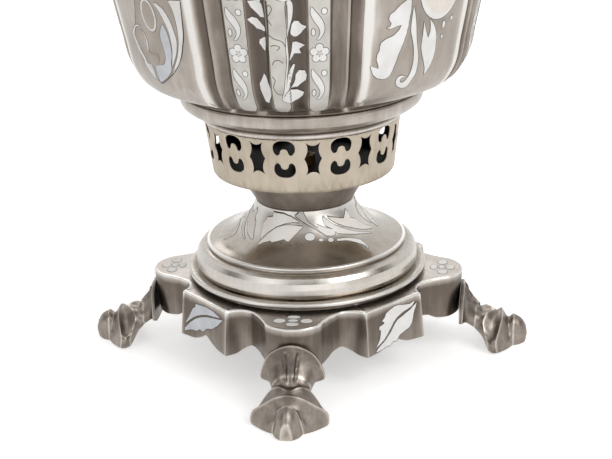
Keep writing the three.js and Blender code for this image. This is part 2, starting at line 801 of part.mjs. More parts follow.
// Shoulder ring round the mouth of the body, which carries the lid.
function makeShoulderRing() {
  const ringShares = [[0, 0], [0.9, 0], [1, 0.18], [0.56, 0.5], [0.88, 0.86], [0.8, 1], [0, 1]];
  return turn(ringShares.map(([out, up]) => [
    mouthRadius + shoulderRingWidth * out, shoulderBottom + shoulderRingHeight * up]));
}

// Lid crown line from the rim to the chimney collar: [share of the way in, share of the lid's height].
const lidShares = [
  [0, 0], [-0.03, 0.03], [0, 0.065], [0.07, 0.08], [0.27, 0.22], [0.5, 0.36], [0.72, 0.57], [0.9, 0.81],
  [1, 0.9], [1, 1],
];

function lidOuter(grow = 0) {
  return lidShares.map(([into, up]) => [
    lidRimRadius + (collarRadius - lidRimRadius) * into + grow, lidBottom + lidHeight * up + grow]);
}

function makeLid() {
  const outer = lidOuter();
  const skirtRadius = mouthRadius - fitGap;
  const under = outer.slice(4, 7).map(([r, z]) => [r - sheetWall, z - sheetWall]).reverse();
  const collarFoot = lidBottom + lidHeight * 0.8;
  return turn([
    ...outer,
    [lidBore, lidBottom + lidHeight],
    [lidBore, collarFoot],
    ...under.filter(([r]) => r > lidBore + sheetWall && r < skirtRadius - 2 * sheetWall),
    [skirtRadius - sheetWall, lidBottom + sheetWall],
    [skirtRadius - sheetWall, lidBottom - lidSkirt],
    [skirtRadius, lidBottom - lidSkirt],
    [skirtRadius, lidBottom],
  ]);
}

function lidEnvelope() {
  const grown = lidOuter(fitGap);
  const foot = lidBottom - lidSkirt;
  const top = grown[grown.length - 1];
  return turn([[0, foot], [grown[0][0], foot], ...grown, [0, top[1]]]);
}

function lidLevelAt(radius) {
  const line = lidOuter();
  for (let i = 3; i < line.length; i++) {
    const [r0, z0] = line[i - 1];
    const [r1, z1] = line[i];
    if (radius <= r0 && radius >= r1) return z0 + (z1 - z0) * (r0 - radius) / (r0 - r1);
  }
  return lidBottom + lidHeight;
}

// Turned stem that stands on the lid, and the wooden knob on it.
const stemShares = [
  [0, 0], [1.9, 0], [1.9, 0.35], [1, 0.52], [1.05, 0.75], [1.7, 0.88], [1.6, 1], [0, 1],
];
const knobShares = [
  [0, 0], [0.55, 0.02], [0.55, 0.16], [0.85, 0.27], [1, 0.5], [0.8, 0.82], [0.3, 1], [0, 1],
];

function makeKnobs(envelope) {
  const level = lidLevelAt(knobReach);
  const foot = level - stemHeight / 3;
  for (const [side, way] of [['right', 1], ['left', -1]]) {
    const stem = turn(scaled(stemShares, stemRadius, stemHeight * 4 / 3, foot), tinySides);
    const seated = joinAndCut([stem.translate(way * knobReach, 0, 0)], [envelope]);
    add(`lid_stem_${side}`, seated, plate);
    const knobFoot = foot + stemHeight * 4 / 3 + fitGap;
    const knob = turn(scaled(knobShares, knobRadius, knobHeight, knobFoot), knobSides);
    add(`lid_knob_${side}`, knob.translate(way * knobReach, 0, 0), turnedWood);
  }
}

function makeVent(envelope) {
  const level = lidLevelAt(ventReach);
  const foot = level - ventHeight / 2;
  const top = level + ventHeight;
  const inner = ventRadius - ventWall;
  const seat = turn([
    [inner, foot], [ventRadius, foot], [ventRadius, top], [inner, top],
  ], smallSides).translate(0, ventReach, 0);
  add('vent_seat', joinAndCut([seat], [envelope]), plate);
  const shellInner = ventRadius + fitGap;
  const shellOuter = shellInner + ventWall;
  const skirt = top - ventHeight * 0.45;
  const shell = turn([
    [0, top + fitGap], [shellInner, top + fitGap], [shellInner, skirt], [shellOuter, skirt],
    [shellOuter, top + ventWall], [shellOuter * 0.6, top + ventCapTop], [ventWall, top + ventCapTop],
    [ventWall, top + 2 * ventCapTop], [0, top + 2 * ventCapTop],
  ], smallSides);
  const tab = new THREE.BoxGeometry(2 * shellOuter, ventWall, ventCapTop);
  const cap = joinAndCut([shell, tab.translate(0, 0, top + 1.5 * ventCapTop)]);
  add('vent_cap', cap.translate(0, ventReach, 0), plate);
}

// Crown: sleeve, floor and pierced wall in one, standing on the chimney.
function makeCrown() {
  const floorLevel = crownSeat + ledgeThickness + crownFloorRise;
  const footRadius = crownRadius - crownHeight * 0.16;
  const sleeveInner = tubeTopRadius + 2 * fitGap;
  const sleeveOuter = sleeveInner + crownWall;
  const sleeveFoot = tubeTop - sleeveLength;
  const cellAngle = 2 * Math.PI / crownCellCount;
  const holeShares = [[0, 1], [0.85, 0.4], [1, -0.1], [0.35, -0.5], [0, -1]];
  const right = holeShares.map(([x, y]) => [x * crownHoleWidth / 2, y * crownHoleHeight / 2]);
  const left = right.slice(1, -1).reverse().map(([x, y]) => [-x, y]);
  const hole = [...right, ...left].map(([x, y]) => new THREE.Vector2(x / crownRadius, crownHeight / 2 + y));
  return piercedWall({
    count: crownCellCount,
    turnTo: cellAngle / 2,
    height: crownHeight,
    base: floorLevel,
    outerRadius: (y) => footRadius + (crownRadius - footRadius) * Math.sqrt(y / crownHeight),
    wall: crownWall,
    holes: [hole],
    path: [
      [sleeveOuter + crownWall, crownSeat],
      [sleeveOuter, crownSeat - crownWall],
      [sleeveOuter, sleeveFoot],
      [sleeveInner, sleeveFoot],
      [sleeveInner, crownSeat],
      [ledgeRadius, crownSeat],
      [ledgeRadius, crownSeat + ledgeThickness],
      [sleeveInner, crownSeat + ledgeThickness],
    ],
    cellSteps: 3,
    rise: [0.5],
  });
}

// Flat-topped ring on the crown's wall, on which a teapot stands.
function makeCrownRim() {
  const bottom = crownSeat + ledgeThickness + crownFloorRise + crownHeight + fitGap;
  const rimShares = [[-1, 0], [0.1, 0], [0.5, 0.35], [0.5, 0.6], [0.1, 1], [-1, 1]];
  return turn(rimShares.map(([out, up]) => [crownRadius + crownLip * out, bottom + crownLip * up]));
}

// Cap that closes the chimney, with its wooden knob.
function makeCap() {
  const skirtRadius = ledgeRadius - fitGap;
  const inner = skirtRadius - sheetWall;
  const top = capSeat + capHeight;
  const domeShares = [
    [1, 0], [1.02, 0.1], [0.8, 0.38], [0.5, 0.56], [0.2, 0.66], [0.17, 0.84], [0.3, 0.95], [0.3, 1], [0, 1],
  ];
  add('chimney_cap', turn([
    [0, capSeat + capHeight * 0.5],
    [inner * 0.5, capSeat + capHeight * 0.42],
    [inner, capSeat + capHeight * 0.1],
    [inner, capSeat - capSkirt],
    [skirtRadius, capSeat - capSkirt],
    [skirtRadius, capSeat],
    ...scaled(domeShares, capRadius, capHeight, capSeat),
  ], middleSides), plate);
  add('cap_knob', turn(scaled(knobShares, knobRadius, knobHeight, top + fitGap), knobSides), turnedWood);
}

// Tap: rosette on the body, tap body with tail, barrel and spout, plug, key, washer and nut.
function makeTap(envelope) {
  const surface = bodyRadiusAt(tapHeight);
  const axisY = -(surface + tapReach);
  const toFront = (geometry) => geometry.rotateX(Math.PI / 2);
  const slope = (bodyRadiusAt(tapHeight + rosetteRadius) - bodyRadiusAt(tapHeight - rosetteRadius))
    / (2 * rosetteRadius);

  const tailShares = [
    [0, 0], [1.7, 0], [1.7, 0.45], [1, 0.55], [1, 0.68], [1.25, 0.72], [1.25, 0.8], [1, 0.84],
    [1, 1], [0, 1],
  ];
  const tailStart = surface - rosetteThickness;
  const tailLength = -axisY - tailStart;
  const tail = toFront(turn(scaled(tailShares, tailRadius, tailLength), smallSides));
  tail.translate(0, -tailStart, tapHeight);

  const barrelBottom = tapHeight - barrelHeight / 2;
  const barrelShares = [
    [0, 0], [0.78, 0], [0.74, 0.12], [0.88, 0.4], [0.86, 0.85], [1, 0.91], [0.97, 1], [0, 1],
  ];
  const barrel = turn(scaled(barrelShares, barrelRadius, barrelHeight, barrelBottom), smallSides)
    .translate(0, axisY, 0);

  const mouthY = axisY - spoutReach;
  const mouthZ = tapHeight - spoutDrop;
  const spoutLine = (end) => new THREE.CatmullRomCurve3([
    new THREE.Vector3(0, axisY, tapHeight),
    new THREE.Vector3(0, axisY - spoutReach * 0.45, tapHeight + spoutDrop * 0.06),
    new THREE.Vector3(0, axisY - spoutReach * 0.85, tapHeight - spoutDrop * 0.1),
    new THREE.Vector3(0, mouthY, tapHeight - spoutDrop * 0.5),
    new THREE.Vector3(0, mouthY, mouthZ - end),
  ]);
  const lipped = (t) => spoutRadius * (t > 0.93 ? spoutLip : 1 - 0.1 * t);
  const spout = tubeAlong(spoutLine(0), lipped, 8, tinySides);
  const spoutBore = tubeAlong(spoutLine(cutOverrun), () => waterBore, 6, tinySides);
  const tailBore = toFront(rod(waterBore, tailLength + cutOverrun, tinySides))
    .translate(0, -tailStart + cutOverrun, tapHeight);
  const barrelTop = barrelBottom + barrelHeight;
  const plugBore = turn([
    [0, barrelBottom - cutOverrun], [plugBottomRadius, barrelBottom - cutOverrun],
    [plugBottomRadius, barrelBottom], [plugTopRadius, barrelTop], [plugTopRadius, barrelTop + cutOverrun],
    [0, barrelTop + cutOverrun],
  ], smallSides).translate(0, axisY, 0);
  add('tap_body', joinAndCut([tail, barrel, spout], [tailBore, spoutBore, plugBore, envelope]), palePlate);

  const rosetteShares = [[0, 0], [1, 0], [1, 0.5], [0.8, 0.56], [0.7, 1], [0, 1]];
  const rosetteLine = scaled(rosetteShares, rosetteRadius, 2 * rosetteThickness, -rosetteThickness);
  const rosette = toFront(turn(rosetteLine, middleSides));
  rosette.rotateX(Math.atan(slope)).translate(0, -surface, tapHeight);
  const tailHole = toFront(rod(1.7 * tailRadius + 2 * fitGap, tapReach)).translate(0, -tailStart, tapHeight);
  add('tap_rosette', joinAndCut([rosette], [envelope, tailHole]), plate);

  const plugFoot = barrelBottom - fitGap;
  const collarTop = barrelTop + 2 * fitGap + plugWasher;
  const plug = turn([
    [0, plugFoot - plugTail], [shankRadius, plugFoot - plugTail], [shankRadius, plugFoot],
    [plugBottomRadius - fitGap, plugFoot], [plugTopRadius - fitGap, barrelTop],
    [plugTopRadius - fitGap, barrelTop + fitGap], [plugTopRadius + fitGap, barrelTop + fitGap],
    [plugTopRadius + fitGap, collarTop], [shankRadius, collarTop], [shankRadius, collarTop + shankHeight],
    [0, collarTop + shankHeight],
  ], smallSides);
  const port = rod(waterBore, 4 * plugTopRadius, tinySides).rotateY(Math.PI / 2)
    .translate(-2 * plugTopRadius, 0, tapHeight);
  add('tap_plug', joinAndCut([plug], [port]).translate(0, axisY, 0), brassCast);

  const washerTop = plugFoot - fitGap;
  const nutTop = washerTop - plugWasher - fitGap;
  const ring = (radius, top, height, sides) => {
    const bore = boreOver(shankRadius, sides);
    return turn([[bore, top - height], [radius, top - height], [radius, top], [bore, top]], sides)
      .translate(0, axisY, 0);
  };
  add('tap_washer', ring(plugNutRadius * 1.2, washerTop, plugWasher, smallSides), brassCast);
  add('tap_nut', ring(plugNutRadius, nutTop, plugNutHeight, nutSides), brassCast);

  // Key: three rings on a stem.
  const keyFoot = collarTop + shankHeight + fitGap;
  const ringShape = new THREE.Shape().absarc(0, 0, keyRingRadius, 0, 2 * Math.PI);
  ringShape.holes.push(new THREE.Path().absarc(0, 0, keyHoleRadius, 0, 2 * Math.PI, true));
  const keyRing = (x, z) => new THREE.ExtrudeGeometry(ringShape, {
    depth: keyThickness, bevelEnabled: false, curveSegments: 5,
  }).rotateX(Math.PI / 2).translate(x, keyThickness / 2, z);
  const stemTop = keyFoot + keyStemHeight;
  const spread = keyRingRadius * 1.02;
  const stemLineShares = [[0, 0], [1.7, 0], [1.9, 0.14], [1.5, 0.3], [1, 0.45], [1, 1], [0, 1]];
  const stemLength = keyStemHeight + keyRingRadius * 0.5;
  const stem = turn(scaled(stemLineShares, shankRadius, stemLength, keyFoot), tinySides);
  const key = joinAndCut([
    stem,
    keyRing(-spread, stemTop + keyRingRadius * 0.9),
    keyRing(spread, stemTop + keyRingRadius * 0.9),
    keyRing(0, stemTop + keyRingRadius * 2.3),
  ]);
  add('tap_key', key.translate(0, axisY, 0), palePlate);
}

// Arm's middle line: shares of the reach off the body, of the root's set-in and of the drop.
const armLineShares = [[-0.13, 1, 1], [0.3, 0.8, 1.1], [0.75, 0, 0.8], [1, 0, 0]];

// Side handles: cast arms with an eye, a turned grip between them, a rod and two finials.
function makeHandle(side, group, envelope) {
  const eyeY = gripLength / 2 + fitGap + eyeWidth / 2;
  const along = (geometry) => geometry.rotateX(-Math.PI / 2);
  const surface = bodyRadiusAt(handleHeight - armDrop);
  const rodHole = (y) => along(rod(handleRodRadius + fitGap, 3 * eyeWidth, tinySides))
    .translate(gripReach, y - 1.5 * eyeWidth, handleHeight);
  for (const [end, way] of [['front', -1], ['rear', 1]]) {
    const y = way * eyeY;
    const line = new THREE.CatmullRomCurve3(armLineShares.map(([out, inward, drop]) => {
      const x = surface + (gripReach - surface) * out;
      return new THREE.Vector3(x, way * (eyeY - rootRadius * inward), handleHeight - armDrop * drop);
    }));
    const root = turn(scaled([[0, 0], [1, 0], [1, 0.55], [0.45, 0.8], [0.3, 1], [0, 1]],
      rootRadius, rootRadius * 1.3), tinySides).rotateY(Math.PI / 2)
      .translate(surface - cutOverrun, way * (eyeY - rootRadius), handleHeight - armDrop);
    const arm = tubeAlong(line, (t) => armRadius * (1.15 - 0.5 * t), 5, tinySides);
    const eyeFoot = y - eyeWidth / 2;
    const eye = along(rod(eyeRadius, eyeWidth, knobSides)).translate(gripReach, eyeFoot, handleHeight);
    add(`handle_arm_${side}_${end}`, joinAndCut([arm, root, eye], [rodHole(y), envelope]), palePlate, group);
    const finialFoot = eyeY + eyeWidth / 2 + fitGap;
    const finialShares = [[0, 0], [1, 0.05], [0.8, 0.25], [0.95, 0.5], [0.4, 1], [0, 1]];
    const finial = turn(scaled(finialShares, finialRadius, finialHeight), nutSides);
    finial.rotateX(-way * Math.PI / 2).translate(gripReach, way * finialFoot, handleHeight);
    add(`handle_finial_${side}_${end}`, finial, palePlate, group);
  }
  const gripShares = [
    [0.72, 0], [0.72, 0.05], [0.58, 0.09], [0.84, 0.24], [1, 0.5], [0.84, 0.76], [0.58, 0.91], [0.72, 0.95],
    [0.72, 1],
  ];
  const boreRadius = handleRodRadius + fitGap;
  const grip = turn([
    ...scaled(gripShares, gripRadius, gripLength), [boreRadius, gripLength], [boreRadius, 0],
  ], smallSides);
  const gripAt = along(grip).translate(gripReach, -gripLength / 2, handleHeight);
  add(`handle_grip_${side}`, gripAt, turnedWood, group);
  const rodEnd = eyeY + eyeWidth / 2;
  const tie = along(rod(handleRodRadius, 2 * rodEnd, tinySides)).translate(gripReach, -rodEnd, handleHeight);
  add(`handle_rod_${side}`, tie, tinned, group);
}

add('plinth', makePlinth(), plate);
['back_right', 'back_left', 'front_left', 'front_right'].forEach((place, i) => {
  add(`foot_${place}`, makeFoot(), plate).rotation.z = degrees(45 + 90 * i);
});
add('bell_foot', makeBellFoot(), plate);
add('neck_collar', makeCollar(), plate);
makeTie();
add('gallery', makeGallery(), plate);
add('gallery_ring', makeGalleryRing(), plate);
add('base_ring', makeBaseRing(), palePlate);
add('body_shell', makeBody(), plate);
add('body_floor', makeBodyFloor(), tinned);
add('fire_tube', makeFireTube(), darkPlate);
add('grate', makeGrate(), firedIron);
add('shoulder_ring', makeShoulderRing(), palePlate);
add('lid', makeLid(), plate);
const overLid = lidEnvelope();
makeKnobs(overLid);
makeVent(overLid);
add('crown', makeCrown(), plate);
add('crown_rim', makeCrownRim(), palePlate);
makeCap();
const overBody = bodyEnvelope();
makeTap(overBody);
const rightSide = new THREE.Group();
const leftSide = new THREE.Group();
leftSide.rotation.z = Math.PI;
samovar.add(rightSide, leftSide);
makeHandle('right', rightSide, overBody);
makeHandle('left', leftSide, overBody);

// Middle of the overall box, between the spout's mouth and the back of the body.
const spoutFront = bodyRadiusAt(tapHeight) + tapReach + spoutReach + spoutRadius * spoutLip;
samovar.position.y = (spoutFront - bodyRadius) / 2;

export default samovar;
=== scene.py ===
# Samovar in aged nickel plate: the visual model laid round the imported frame.
# Tables are in millimetres and meshes in metres; +Z is up and the tap looks along -Y.
import json
import math
import bmesh
import bpy
import mathutils
import numpy as np
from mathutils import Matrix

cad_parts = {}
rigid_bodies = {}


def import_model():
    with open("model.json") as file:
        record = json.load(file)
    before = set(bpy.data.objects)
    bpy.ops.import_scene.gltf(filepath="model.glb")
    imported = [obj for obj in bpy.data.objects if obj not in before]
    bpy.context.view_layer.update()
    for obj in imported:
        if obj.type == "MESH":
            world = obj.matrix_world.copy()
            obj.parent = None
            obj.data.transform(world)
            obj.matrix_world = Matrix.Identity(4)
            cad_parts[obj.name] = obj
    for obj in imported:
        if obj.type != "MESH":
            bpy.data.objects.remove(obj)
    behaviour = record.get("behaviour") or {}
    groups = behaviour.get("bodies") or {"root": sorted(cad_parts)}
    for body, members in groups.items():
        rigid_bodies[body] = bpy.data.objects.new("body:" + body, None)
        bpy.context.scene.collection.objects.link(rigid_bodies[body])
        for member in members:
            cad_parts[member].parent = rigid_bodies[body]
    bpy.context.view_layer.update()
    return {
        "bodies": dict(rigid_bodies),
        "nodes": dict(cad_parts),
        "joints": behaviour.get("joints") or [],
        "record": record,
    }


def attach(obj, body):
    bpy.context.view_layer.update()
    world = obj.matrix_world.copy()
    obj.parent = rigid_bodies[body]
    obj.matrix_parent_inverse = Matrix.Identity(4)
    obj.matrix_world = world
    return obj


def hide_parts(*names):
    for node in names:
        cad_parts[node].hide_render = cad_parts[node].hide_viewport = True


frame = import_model()
nodes = frame["nodes"]
print("frame loaded:", len(nodes), "nodes")

mm = 0.001
ownAxis = 29.2045  # the samovar's own axis stands this far behind the origin, towards +Y


def hexColour(text):
    # sRGB hex to linear: each channel over 12.92 when dark, else ((c + 0.055) / 1.055) ^ 2.4
    c = np.array([int(text[i:i + 2], 16) for i in (1, 3, 5)]) / 255
    linear = np.where(c <= 0.04045, c / 12.92, ((c + 0.055) / 1.055) ** 2.4)
    return (*linear.tolist(), 1.0)


def addNode(tree, kind, settings=None, inputs=None):
    # One node with its settings; an input given as a socket is linked, any other is set.
    node = tree.nodes.new(kind)
    for key, value in (settings or {}).items():
        setattr(node, key, value)
    for key, value in (inputs or {}).items():
        if isinstance(value, bpy.types.NodeSocket):
            tree.links.new(value, node.inputs[key])
        else:
            node.inputs[key].default_value = value
    return node


def startMaterial(name, **shader):
    # A material, its node tree and its Principled shader, whose inputs are set by name.
    material = bpy.data.materials.new(name)
    material.use_nodes = True
    tree = material.node_tree
    surface = tree.nodes["Principled BSDF"]
    for key, value in shader.items():
        surface.inputs[key.replace("_", " ")].default_value = value
    return material, tree, surface


def plateMaterial(name, look):
    # Nickel plate over brass: soft warm grey shine, clouded with brown tarnish that stays in the
    # hollows, rubbed pale on the ridges, with fine wipe marks. The stored tarnish values also carry
    # painted shade, painted highlights and painted reflections.
    material, tree, surface = startMaterial(name, Metallic=1.0)
    place = addNode(tree, "ShaderNodeTexCoord").outputs["Object"]
    cloud = addNode(tree, "ShaderNodeTexNoise", {}, {
        "Vector": place, "Scale": 1000 / look["cloudSize"], "Detail": 5.0, "Roughness": 0.6})
    stretched = addNode(tree, "ShaderNodeMapping", {}, {
        "Vector": place, "Scale": (1.0, 1.0, look["streak"])})
    wipe = addNode(tree, "ShaderNodeTexNoise", {}, {
        "Vector": stretched.outputs["Vector"], "Scale": 1000 / look["wipeSize"], "Detail": 3.0})
    wearAndShade = addNode(tree, "ShaderNodeAttribute", {"attribute_name": "tarnish"})
    mixed = addNode(tree, "ShaderNodeMath", {"operation": "MULTIPLY_ADD"}, {
        0: cloud.outputs["Fac"], 1: look["cloudShare"], 2: wearAndShade.outputs["Fac"]})
    mixed = addNode(tree, "ShaderNodeMath", {"operation": "MULTIPLY_ADD"}, {
        0: wipe.outputs["Fac"], 1: look["wipeShare"], 2: mixed.outputs["Value"]})
    half = addNode(tree, "ShaderNodeMath", {"operation": "MULTIPLY"}, {0: mixed.outputs["Value"], 1: 0.5})
    ramp = addNode(tree, "ShaderNodeValToRGB", {}, {"Fac": half.outputs["Value"]})
    stops = ramp.color_ramp.elements
    stops[0].position, stops[1].position = look["from"] / 2, 0.98
    stops[0].color, stops[1].color = hexColour(look["pale"]), hexColour(look["sootAndShade"])
    for share, colour in ((0.5, "middle"), (1.0, "dark")):
        stop = stops.new((look["from"] + (look["to"] - look["from"]) * share) / 2)
        stop.color = hexColour(look[colour])
    tree.links.new(ramp.outputs["Color"], surface.inputs["Base Color"])
    gloss = addNode(tree, "ShaderNodeMapRange", {}, {
        "Value": mixed.outputs["Value"], "From Min": look["from"], "From Max": look["to"],
        "To Min": look["polished"], "To Max": look["dull"]})
    tree.links.new(gloss.outputs["Result"], surface.inputs["Roughness"])
    dents = addNode(tree, "ShaderNodeTexNoise", {}, {
        "Vector": place, "Scale": 1000 / look["dentSize"], "Detail": 1.0})
    bump = addNode(tree, "ShaderNodeBump", {}, {
        "Height": dents.outputs["Fac"], "Distance": look["dentDepth"] * mm, "Strength": 1.0})
    tree.links.new(bump.outputs["Normal"], surface.inputs["Normal"])
    return material


# Sizes in mm: clouds of tarnish, wipe marks (drawn as coarse as they need to show) and soft dents.
sheetLook = {"pale": "#d6d3cf", "middle": "#a49c94", "dark": "#6b625a", "sootAndShade": "#0d0b0a",
             "from": 0.15, "to": 1.05, "cloudSize": 34, "cloudShare": 0.6, "wipeSize": 3.2, "wipeShare": 0.3,
             "streak": 0.12, "polished": 0.2, "dull": 0.4, "dentSize": 26, "dentDepth": 0.35}
castLook = dict(sheetLook, cloudSize=14, streak=1.0, wipeSize=2.2, polished=0.26, dull=0.42, dentSize=7,
                dentDepth=0.18, pale="#d0c9c0", middle="#a0978e", dark="#665e57")
# The bell's low flare is kept bright like a mirror and its neck is matte from scrubbing.
bellLook = dict(sheetLook, polished=0.4, dull=0.03, middle="#b7b0a7", dark="#8b8174")
galleryLook = dict(sheetLook, pale="#cfc4b6", middle="#b3a898", dark="#75695d", polished=0.38, dull=0.5,
                   cloudSize=20)
agedSheet = plateMaterial("agedNickelSheet", sheetLook)
agedCast = plateMaterial("agedNickelCast", castLook)
agedBell = plateMaterial("agedNickelBell", bellLook)
agedGallery = plateMaterial("agedNickelGallery", galleryLook)


def frostMaterial(name, look):
    # Acid-frosted nickel: a fine matte grain that scatters light almost like white enamel.
    material, tree, surface = startMaterial(name, Metallic=look["metallic"], Roughness=look["rough"])
    place = addNode(tree, "ShaderNodeTexCoord").outputs["Object"]
    cloud = addNode(tree, "ShaderNodeTexNoise", {}, {
        "Vector": place, "Scale": 1000 / look["cloudSize"], "Detail": 4.0})
    ramp = addNode(tree, "ShaderNodeValToRGB", {}, {"Fac": cloud.outputs["Fac"]})
    stops = ramp.color_ramp.elements
    stops[0].position, stops[1].position = 0.35, 0.7
    stops[0].color, stops[1].color = hexColour(look["shade"]), hexColour(look["light"])
    tree.links.new(ramp.outputs["Color"], surface.inputs["Base Color"])
    return material


frostLook = {"light": "#f7f6f5", "shade": "#eae8e5", "metallic": 0.1, "rough": 0.55, "cloudSize": 9}
# The same frosting in several states: fresh, cool, yellowed, worn thin, and as a ground; the milk-white
# one is painted light, brighter for the bell's leaves that lie in shade under the body.
frosted = frostMaterial("frostedNickel", frostLook)
frostedCool = frostMaterial("frostedNickelCool", dict(frostLook, light="#e2e4e9", shade="#cfd2d8"))
frostedCream = frostMaterial("frostedNickelCream", dict(frostLook, light="#f5eee6", shade="#e6dcd2"))
frostedPaintedBright = frostMaterial("frostedNickelMilk", dict(
    frostLook, light="#ffffff", shade="#f6efe6", metallic=0.0))
frostedSoft = frostMaterial("frostedNickelSoft", dict(
    frostLook, light="#d9d6d0", shade="#c3bfb8", metallic=0.3))
frostedGround = frostMaterial("frostedNickelGround", dict(
    frostLook, light="#aaa197", shade="#988f86", metallic=0.8, rough=0.42, cloudSize=14))


def plainMaterial(name, colour, metallic, rough):
    # One even colour; its roughness wanders by a fifth in clouds of 12 mm, as handled metal does.
    material, tree, surface = startMaterial(name, Metallic=metallic)
    place = addNode(tree, "ShaderNodeTexCoord").outputs["Object"]
    cloud = addNode(tree, "ShaderNodeTexNoise", {}, {"Vector": place, "Scale": 1000 / 12, "Detail": 4.0})
    gloss = addNode(tree, "ShaderNodeMapRange", {}, {
        "Value": cloud.outputs["Fac"], "To Min": rough * 0.8, "To Max": rough * 1.2})
    tree.links.new(gloss.outputs["Result"], surface.inputs["Roughness"])
    surface.inputs["Base Color"].default_value = hexColour(colour)
    return material


# Engraved lines hold dark oxide; brass is bare where it is hidden; the inside is hot-tinned.
engraved = plainMaterial("engravedOxideLine", "#4a423b", 0.6, 0.5)  # a cut filled with brown oxide, like ink
turnedBrass = plainMaterial("turnedBrass", "#a8894f", 1.0, 0.34)  # bare from the lathe: warm, half bright
tinnedSheet = plainMaterial("tinnedSheet", "#8f8c86", 1.0, 0.5)  # tin dulled by water: flat grey
drawnSteel = plainMaterial("drawnSteel", "#8b8b8d", 1.0, 0.35)  # drawn rod: cool grey with a soft shine
sootyIron = plainMaterial("sootyCastIron", "#2b2724", 0.4, 0.85)  # cast iron under soot: near black, matte


def woodMaterial(name, look):
    # Ebonised beech, turned and oiled: near black, with long pores that catch a little light.
    material, tree, surface = startMaterial(name, Roughness=look["rough"])
    place = addNode(tree, "ShaderNodeTexCoord").outputs["Object"]
    along = addNode(tree, "ShaderNodeMapping", {}, {"Vector": place, "Scale": (1.0, 0.12, 0.12)})
    grain = addNode(tree, "ShaderNodeTexNoise", {}, {
        "Vector": along.outputs["Vector"], "Scale": 1000 / look["grain"], "Detail": 5.0})
    ramp = addNode(tree, "ShaderNodeValToRGB", {}, {"Fac": grain.outputs["Fac"]})
    stops = ramp.color_ramp.elements
    stops[0].position, stops[1].position = 0.4, 0.65
    stops[0].color, stops[1].color = hexColour(look["dark"]), hexColour(look["light"])
    tree.links.new(ramp.outputs["Color"], surface.inputs["Base Color"])
    return material


ebonised = woodMaterial("ebonisedBeech", {"dark": "#17100c", "light": "#3a251a", "grain": 1.6, "rough": 0.32})
print("materials made")


def near(x, at, width):
    # A soft bump: 1 at the given place, exp(-(distance / width)^2) beside it.
    return np.exp(-((x - at) / width) ** 2)


def lineThrough(xs, ys, x):
    # Smooth line through points: cubic Hermite, each slope from the neighbours on both sides.
    xs, ys, x = np.asarray(xs, float), np.asarray(ys, float), np.asarray(x, float)
    slopes = np.gradient(ys, xs, axis=0)
    i = np.clip(np.searchsorted(xs, x, side="right") - 1, 0, len(xs) - 2)
    span = xs[i + 1] - xs[i]
    t = (x - xs[i]) / span
    wide = (slice(None),) + (None,) * (ys.ndim - 1)
    t, span = t[wide], span[wide]
    return ((2 * t**3 - 3 * t**2 + 1) * ys[i] + (t**3 - 2 * t**2 + t) * span * slopes[i]
            + (3 * t**2 - 2 * t**3) * ys[i + 1] + (t**3 - t**2) * span * slopes[i + 1])


def smoothProfile(points, count):
    # The same line through points in the plane, by the share of their running length.
    points = np.asarray(points, float)
    run = np.concatenate([[0], np.cumsum(np.linalg.norm(np.diff(points, axis=0), axis=1))])
    return lineThrough(run, points, np.linspace(0, run[-1], count))


def roundedCorners(points, radius, steps=4, closed=True):
    # Each corner gives way to an arc between the two points that lie a radius along its sides.
    p = np.asarray(points, float)
    before, after = np.roll(p, 1, 0) - p, np.roll(p, -1, 0) - p
    a = np.linalg.norm(before, axis=1, keepdims=True)
    b = np.linalg.norm(after, axis=1, keepdims=True)
    p0 = p + before / np.maximum(a, 1e-9) * np.minimum(radius, a * 0.45)
    p2 = p + after / np.maximum(b, 1e-9) * np.minimum(radius, b * 0.45)
    t = np.linspace(0, 1, steps)[None, :, None]
    arcs = (1 - t)**2 * p0[:, None] + 2 * t * (1 - t) * p[:, None] + t**2 * p2[:, None]
    if closed:
        return arcs.reshape(-1, 2)
    return np.concatenate([p[:1], arcs[1:-1].reshape(-1, 2), p[-1:]])


def aroundAxis(profile, angle):
    # Surface of revolution: x = radius * cos(angle), y = radius * sin(angle), z = height, for every
    # [radius, height] of the profile and every angle.
    p = np.asarray(profile, float)
    return np.stack([p[:, :1] * np.cos(angle), p[:, :1] * np.sin(angle), p[:, 1:] + 0 * angle], -1)


def turned(profile, sides):
    # The profile goes round the own axis in equal steps.
    return aroundAxis(profile, np.linspace(0, 2 * np.pi, sides, endpoint=False))


def gridFaces(rows, columns, closedRows, closedColumns):
    # Point k = row * columns + column; each face joins a point to its neighbours right and below.
    i = np.arange(rows if closedRows else rows - 1)[:, None]
    j = np.arange(columns if closedColumns else columns - 1)[None, :]
    i, j = np.broadcast_arrays(i, j)
    down, right = (i + 1) % rows, (j + 1) % columns
    return np.stack([i * columns + j, i * columns + right, down * columns + right, down * columns + j],
                    -1).reshape(-1, 4)


